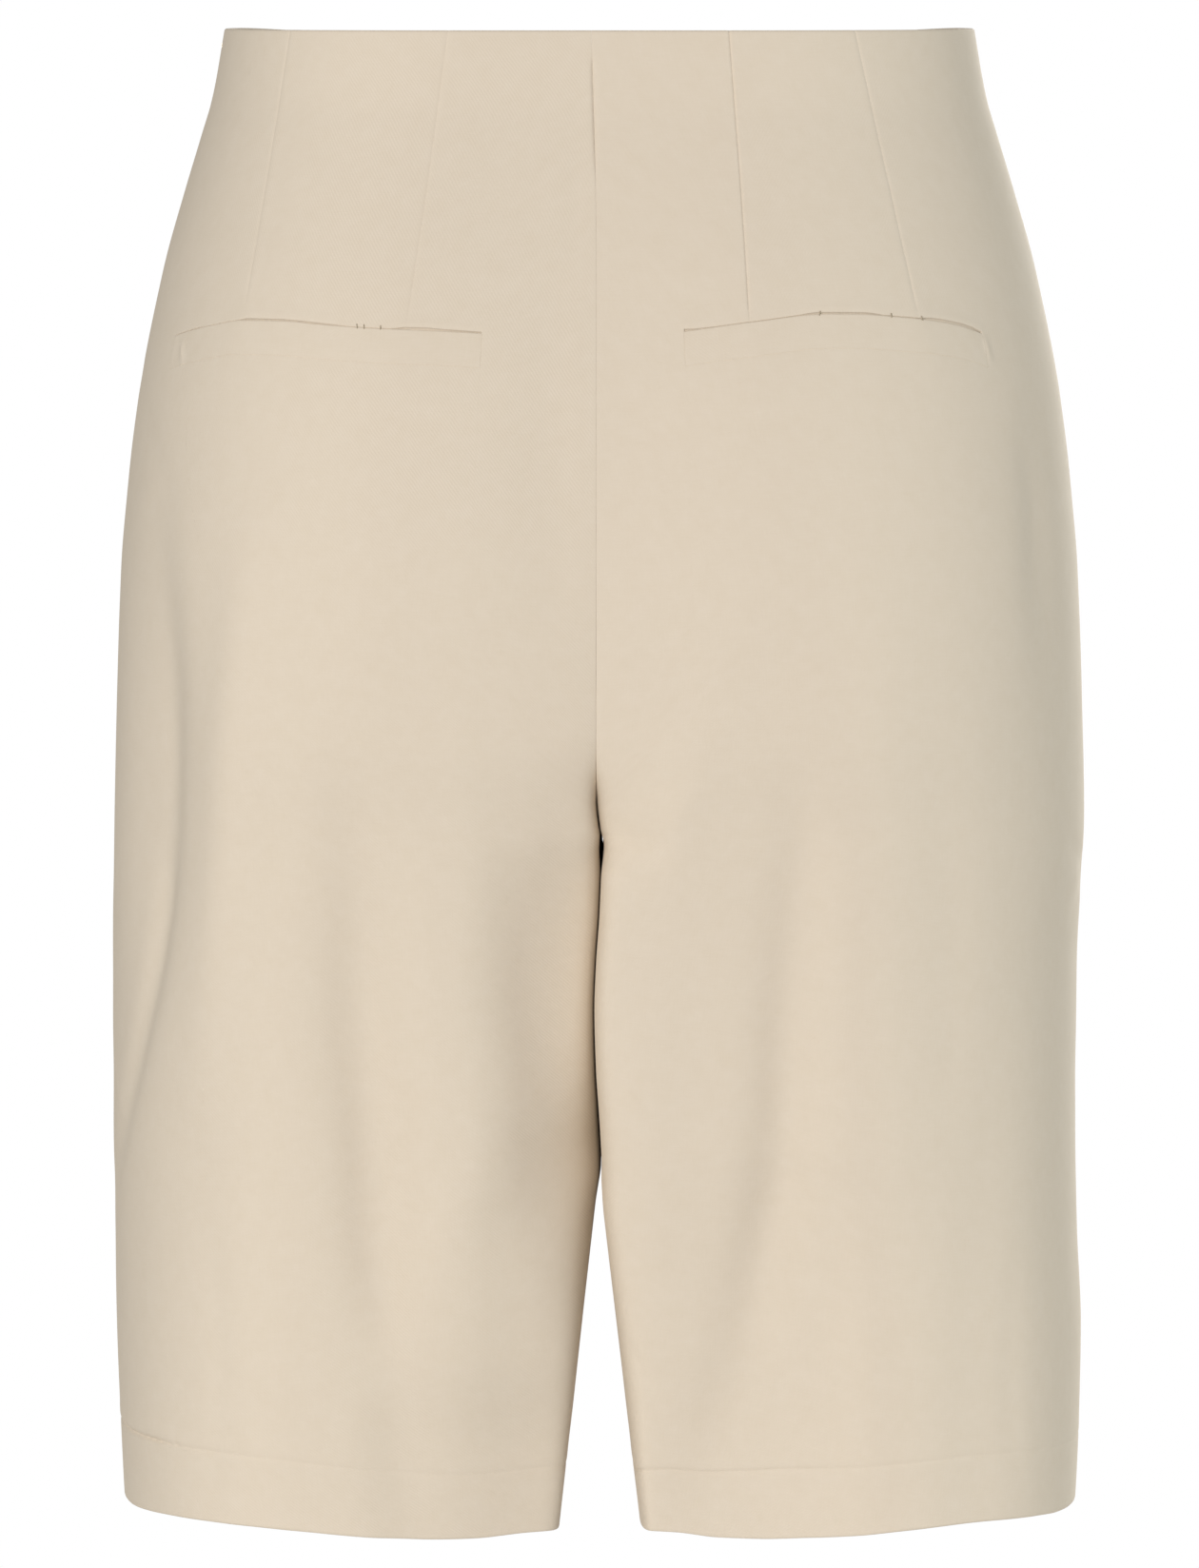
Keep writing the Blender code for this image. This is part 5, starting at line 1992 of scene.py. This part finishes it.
@dataclass
class Tacks:
    """Stitches that hold a new pocket shut until it is first worn.

    Attributes:
        panel: The back panel with the pocket.
        thread: Their material.
        length: Of a stitch.
        radius: Of the thread.
        shares: How much of the length lies above and below the slit.
        lean: Greatest lean of a stitch, as a share of the panel's width.
        lean_turn: How fast the lean changes along the slit, in radians for the whole of it.
        lift: How far the thread stands above the cloth.
    """

    panel: Panel
    thread: Material
    length: float = 1.7 * MM
    radius: float = 0.17 * MM
    shares: Pair = (0.62, -0.38)
    lean: float = 0.0012
    lean_turn: float = 7.0
    lift: float = 0.16 * MM

    def build(self) -> None:
        """Makes the stitches across the slit."""
        form, pocket = self.panel.form, self.panel.pocket
        inner, outer = self.panel.pocket_ends()
        across = np.array(pocket.tacks)
        share = inner + (outer - inner) * across
        middle = pocket.slit_z(across)
        lean = self.lean * np.cos(self.lean_turn * across)
        ends = []
        for part, shift in zip(self.shares, (lean, -lean)):
            spots = form.places(middle + part * self.length, share + shift)
            ends.append(form.settle(spots, form.relief(spots) + self.lift)[0])
        tacks = thread_pieces(f"tacks_{form.side.word}", *ends, self.radius, self.thread)
        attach(tacks, "garment")


# ---- Assemblies ----
@dataclass
class Shorts:
    """The whole garment.

    Attributes:
        cut: Its sizes.
        suiting: Material of the panels and welts.
        pocketing: Material of the bags and the zip's tape.
        thread: Material of the tacks.
        coil: Material of the zip's coil.
        nickel: Material of the zip's slider and pull.
    """

    cut: Cut
    suiting: Material
    pocketing: Material
    thread: Material
    coil: Material
    nickel: Material

    def build(self, nodes: dict[str, Object]) -> None:
        """Makes every cloth piece and finishes the zip's hardware.

        Args:
            nodes: The frame's solids, by name.
        """
        forms = {(face, side): PanelForm(self.cut, face, side) for face in Face for side in Side}
        panels = {place: Panel(form, self.suiting) for place, form in forms.items()}
        for panel in panels.values():
            panel.build()
        for side in Side:
            back = panels[Face.BACK, side]
            Welt(back, self.suiting).build()
            PocketBag(back, self.pocketing).build()
            Tacks(back, self.thread).build()
        back, front = forms[Face.BACK, Side.LEFT], forms[Face.FRONT, Side.LEFT]
        ZipTape(back, front, self.pocketing, self.coil).build()
        for name in ("zip_slider", "zip_pull"):
            nodes[name].data.materials.clear()
            nodes[name].data.materials.append(self.nickel)
            log.info("%s: %s", name, self.nickel.name)


# ---- Studio ----
@dataclass(frozen=True)
class Studio:
    """White surroundings, large soft lamps and a long lens.

    Attributes:
        ambient: Strength of the surroundings' light, of which the camera sees plain white.
        floor_z: Height of the floor.
        floor_radius: Radius at which it has faded out.
        floor_fades: Radius from which it fades.
        floor_colour: Its colour.
        aim: Middle of the garment, which the lamps and the camera face.
        eye: Place of the camera.
        lens: Its focal length in mm.
    """

    ambient: float = 0.27
    floor_z: float = -0.76
    floor_radius: float = 1.1
    floor_fades: float = 0.3
    floor_colour: str = "#f2f1ef"
    aim: Triple = (0.0, 0.0, -0.2755)
    eye: Triple = (0.0, 4.3, 0.03)
    lens: float = 271.0

    def build(self) -> None:
        """Sets up the surroundings, the floor, the lamps and the camera."""
        self._world()
        self._floor()
        for name, place, size, power, colour in (
            ("key", (1.19, 3.89, 0.35), 1.5, 117.5, "#fffcf7"),
            ("left", (2.7, -0.1, 0.3), 1.0, 6.5, "#f8fff8"),
            ("right", (-2.7, 0.15, 0.1), 1.0, 27.0, "#f8fffb"),
            ("front_key", (-1.19, -3.89, 0.35), 1.5, 117.5, "#fffcf7"),
        ):
            data = bpy.data.lights.new(name, "AREA")
            data.shape = "SQUARE"
            data.size = size
            data.energy = power
            data.color = linear(colour)[:3]
            lamp = self._aimed(name, data, place)
            lamp.visible_camera = False
        data = bpy.data.cameras.new("camera")
        data.lens = self.lens
        bpy.context.scene.camera = self._aimed("camera", data, self.eye)

    def _aimed(self, name: str, data: ID, place: Triple) -> Object:
        """Puts a lamp or the camera in its place, facing the garment's middle.

        Args:
            name: Its name.
            data: The lamp or the camera.
            place: Where it stands.

        Returns:
            The new object.
        """
        made = bpy.data.objects.new(name, data)
        bpy.context.scene.collection.objects.link(made)
        made.location = place
        made.rotation_euler = (Vector(self.aim) - Vector(place)).to_track_quat("-Z", "Y").to_euler()
        return made

    def _world(self) -> None:
        """White to the camera, and a weaker even light on the cloth."""
        world = bpy.data.worlds.new("studio")
        bpy.context.scene.world = world
        world.use_nodes = True
        tree = world.node_tree
        seen = add_node(tree, "ShaderNodeLightPath").outputs["Is Camera Ray"]
        spread = {"Value": seen, "To Min": self.ambient, "To Max": 1.0}
        strength = add_node(tree, "ShaderNodeMapRange", spread)
        light = {"Strength": strength.outputs["Result"], "Color": (1.0, 1.0, 1.0, 1.0)}
        feed(tree, tree.nodes["Background"], light)

    def _floor(self) -> None:
        """Pale round floor that fades out before its edge."""
        material, tree, shader = new_material("studio_floor")
        place = add_node(tree, "ShaderNodeTexCoord").outputs["Object"]
        distance = add_node(tree, "ShaderNodeVectorMath", {0: place}, operation="LENGTH")
        edge = {
            "Value": distance.outputs["Value"],
            "From Min": self.floor_fades,
            "From Max": self.floor_radius,
            "To Min": 1.0,
            "To Max": 0.0,
        }
        fade = add_node(tree, "ShaderNodeMapRange", edge, interpolation_type="SMOOTHSTEP")
        alpha = fade.outputs["Result"]
        feed(tree, shader, {"Alpha": alpha, "Base Color": linear(self.floor_colour), "Roughness": 0.9})
        bpy.ops.mesh.primitive_circle_add(
            vertices=96, radius=self.floor_radius, fill_type="NGON", location=(0.0, 0.0, self.floor_z)
        )
        floor = bpy.context.object
        floor.name = "studio_floor"
        floor.data.materials.append(material)


def main() -> None:
    """Dresses the frame and sets up the picture."""
    logging.basicConfig(level=logging.INFO, format="%(name)s: %(message)s")
    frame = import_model()
    Shorts(
        cut=Cut(),
        suiting=TwillSuiting().make(),
        pocketing=PlainPocketing().make(),
        thread=SewingThread().make(),
        # The coil is bent nylon bristle, paler and smoother than thread.
        coil=SewingThread(name="nylon_coil", colour="#c6b9a2", twist_mm=1.2, roughness=0.45).make(),
        nickel=NickelPlate().make(),
    ).build(frame["nodes"])
    Studio().build()
    bpy.context.scene.view_settings.view_transform = "Standard"


if __name__ == "__main__":
    main()
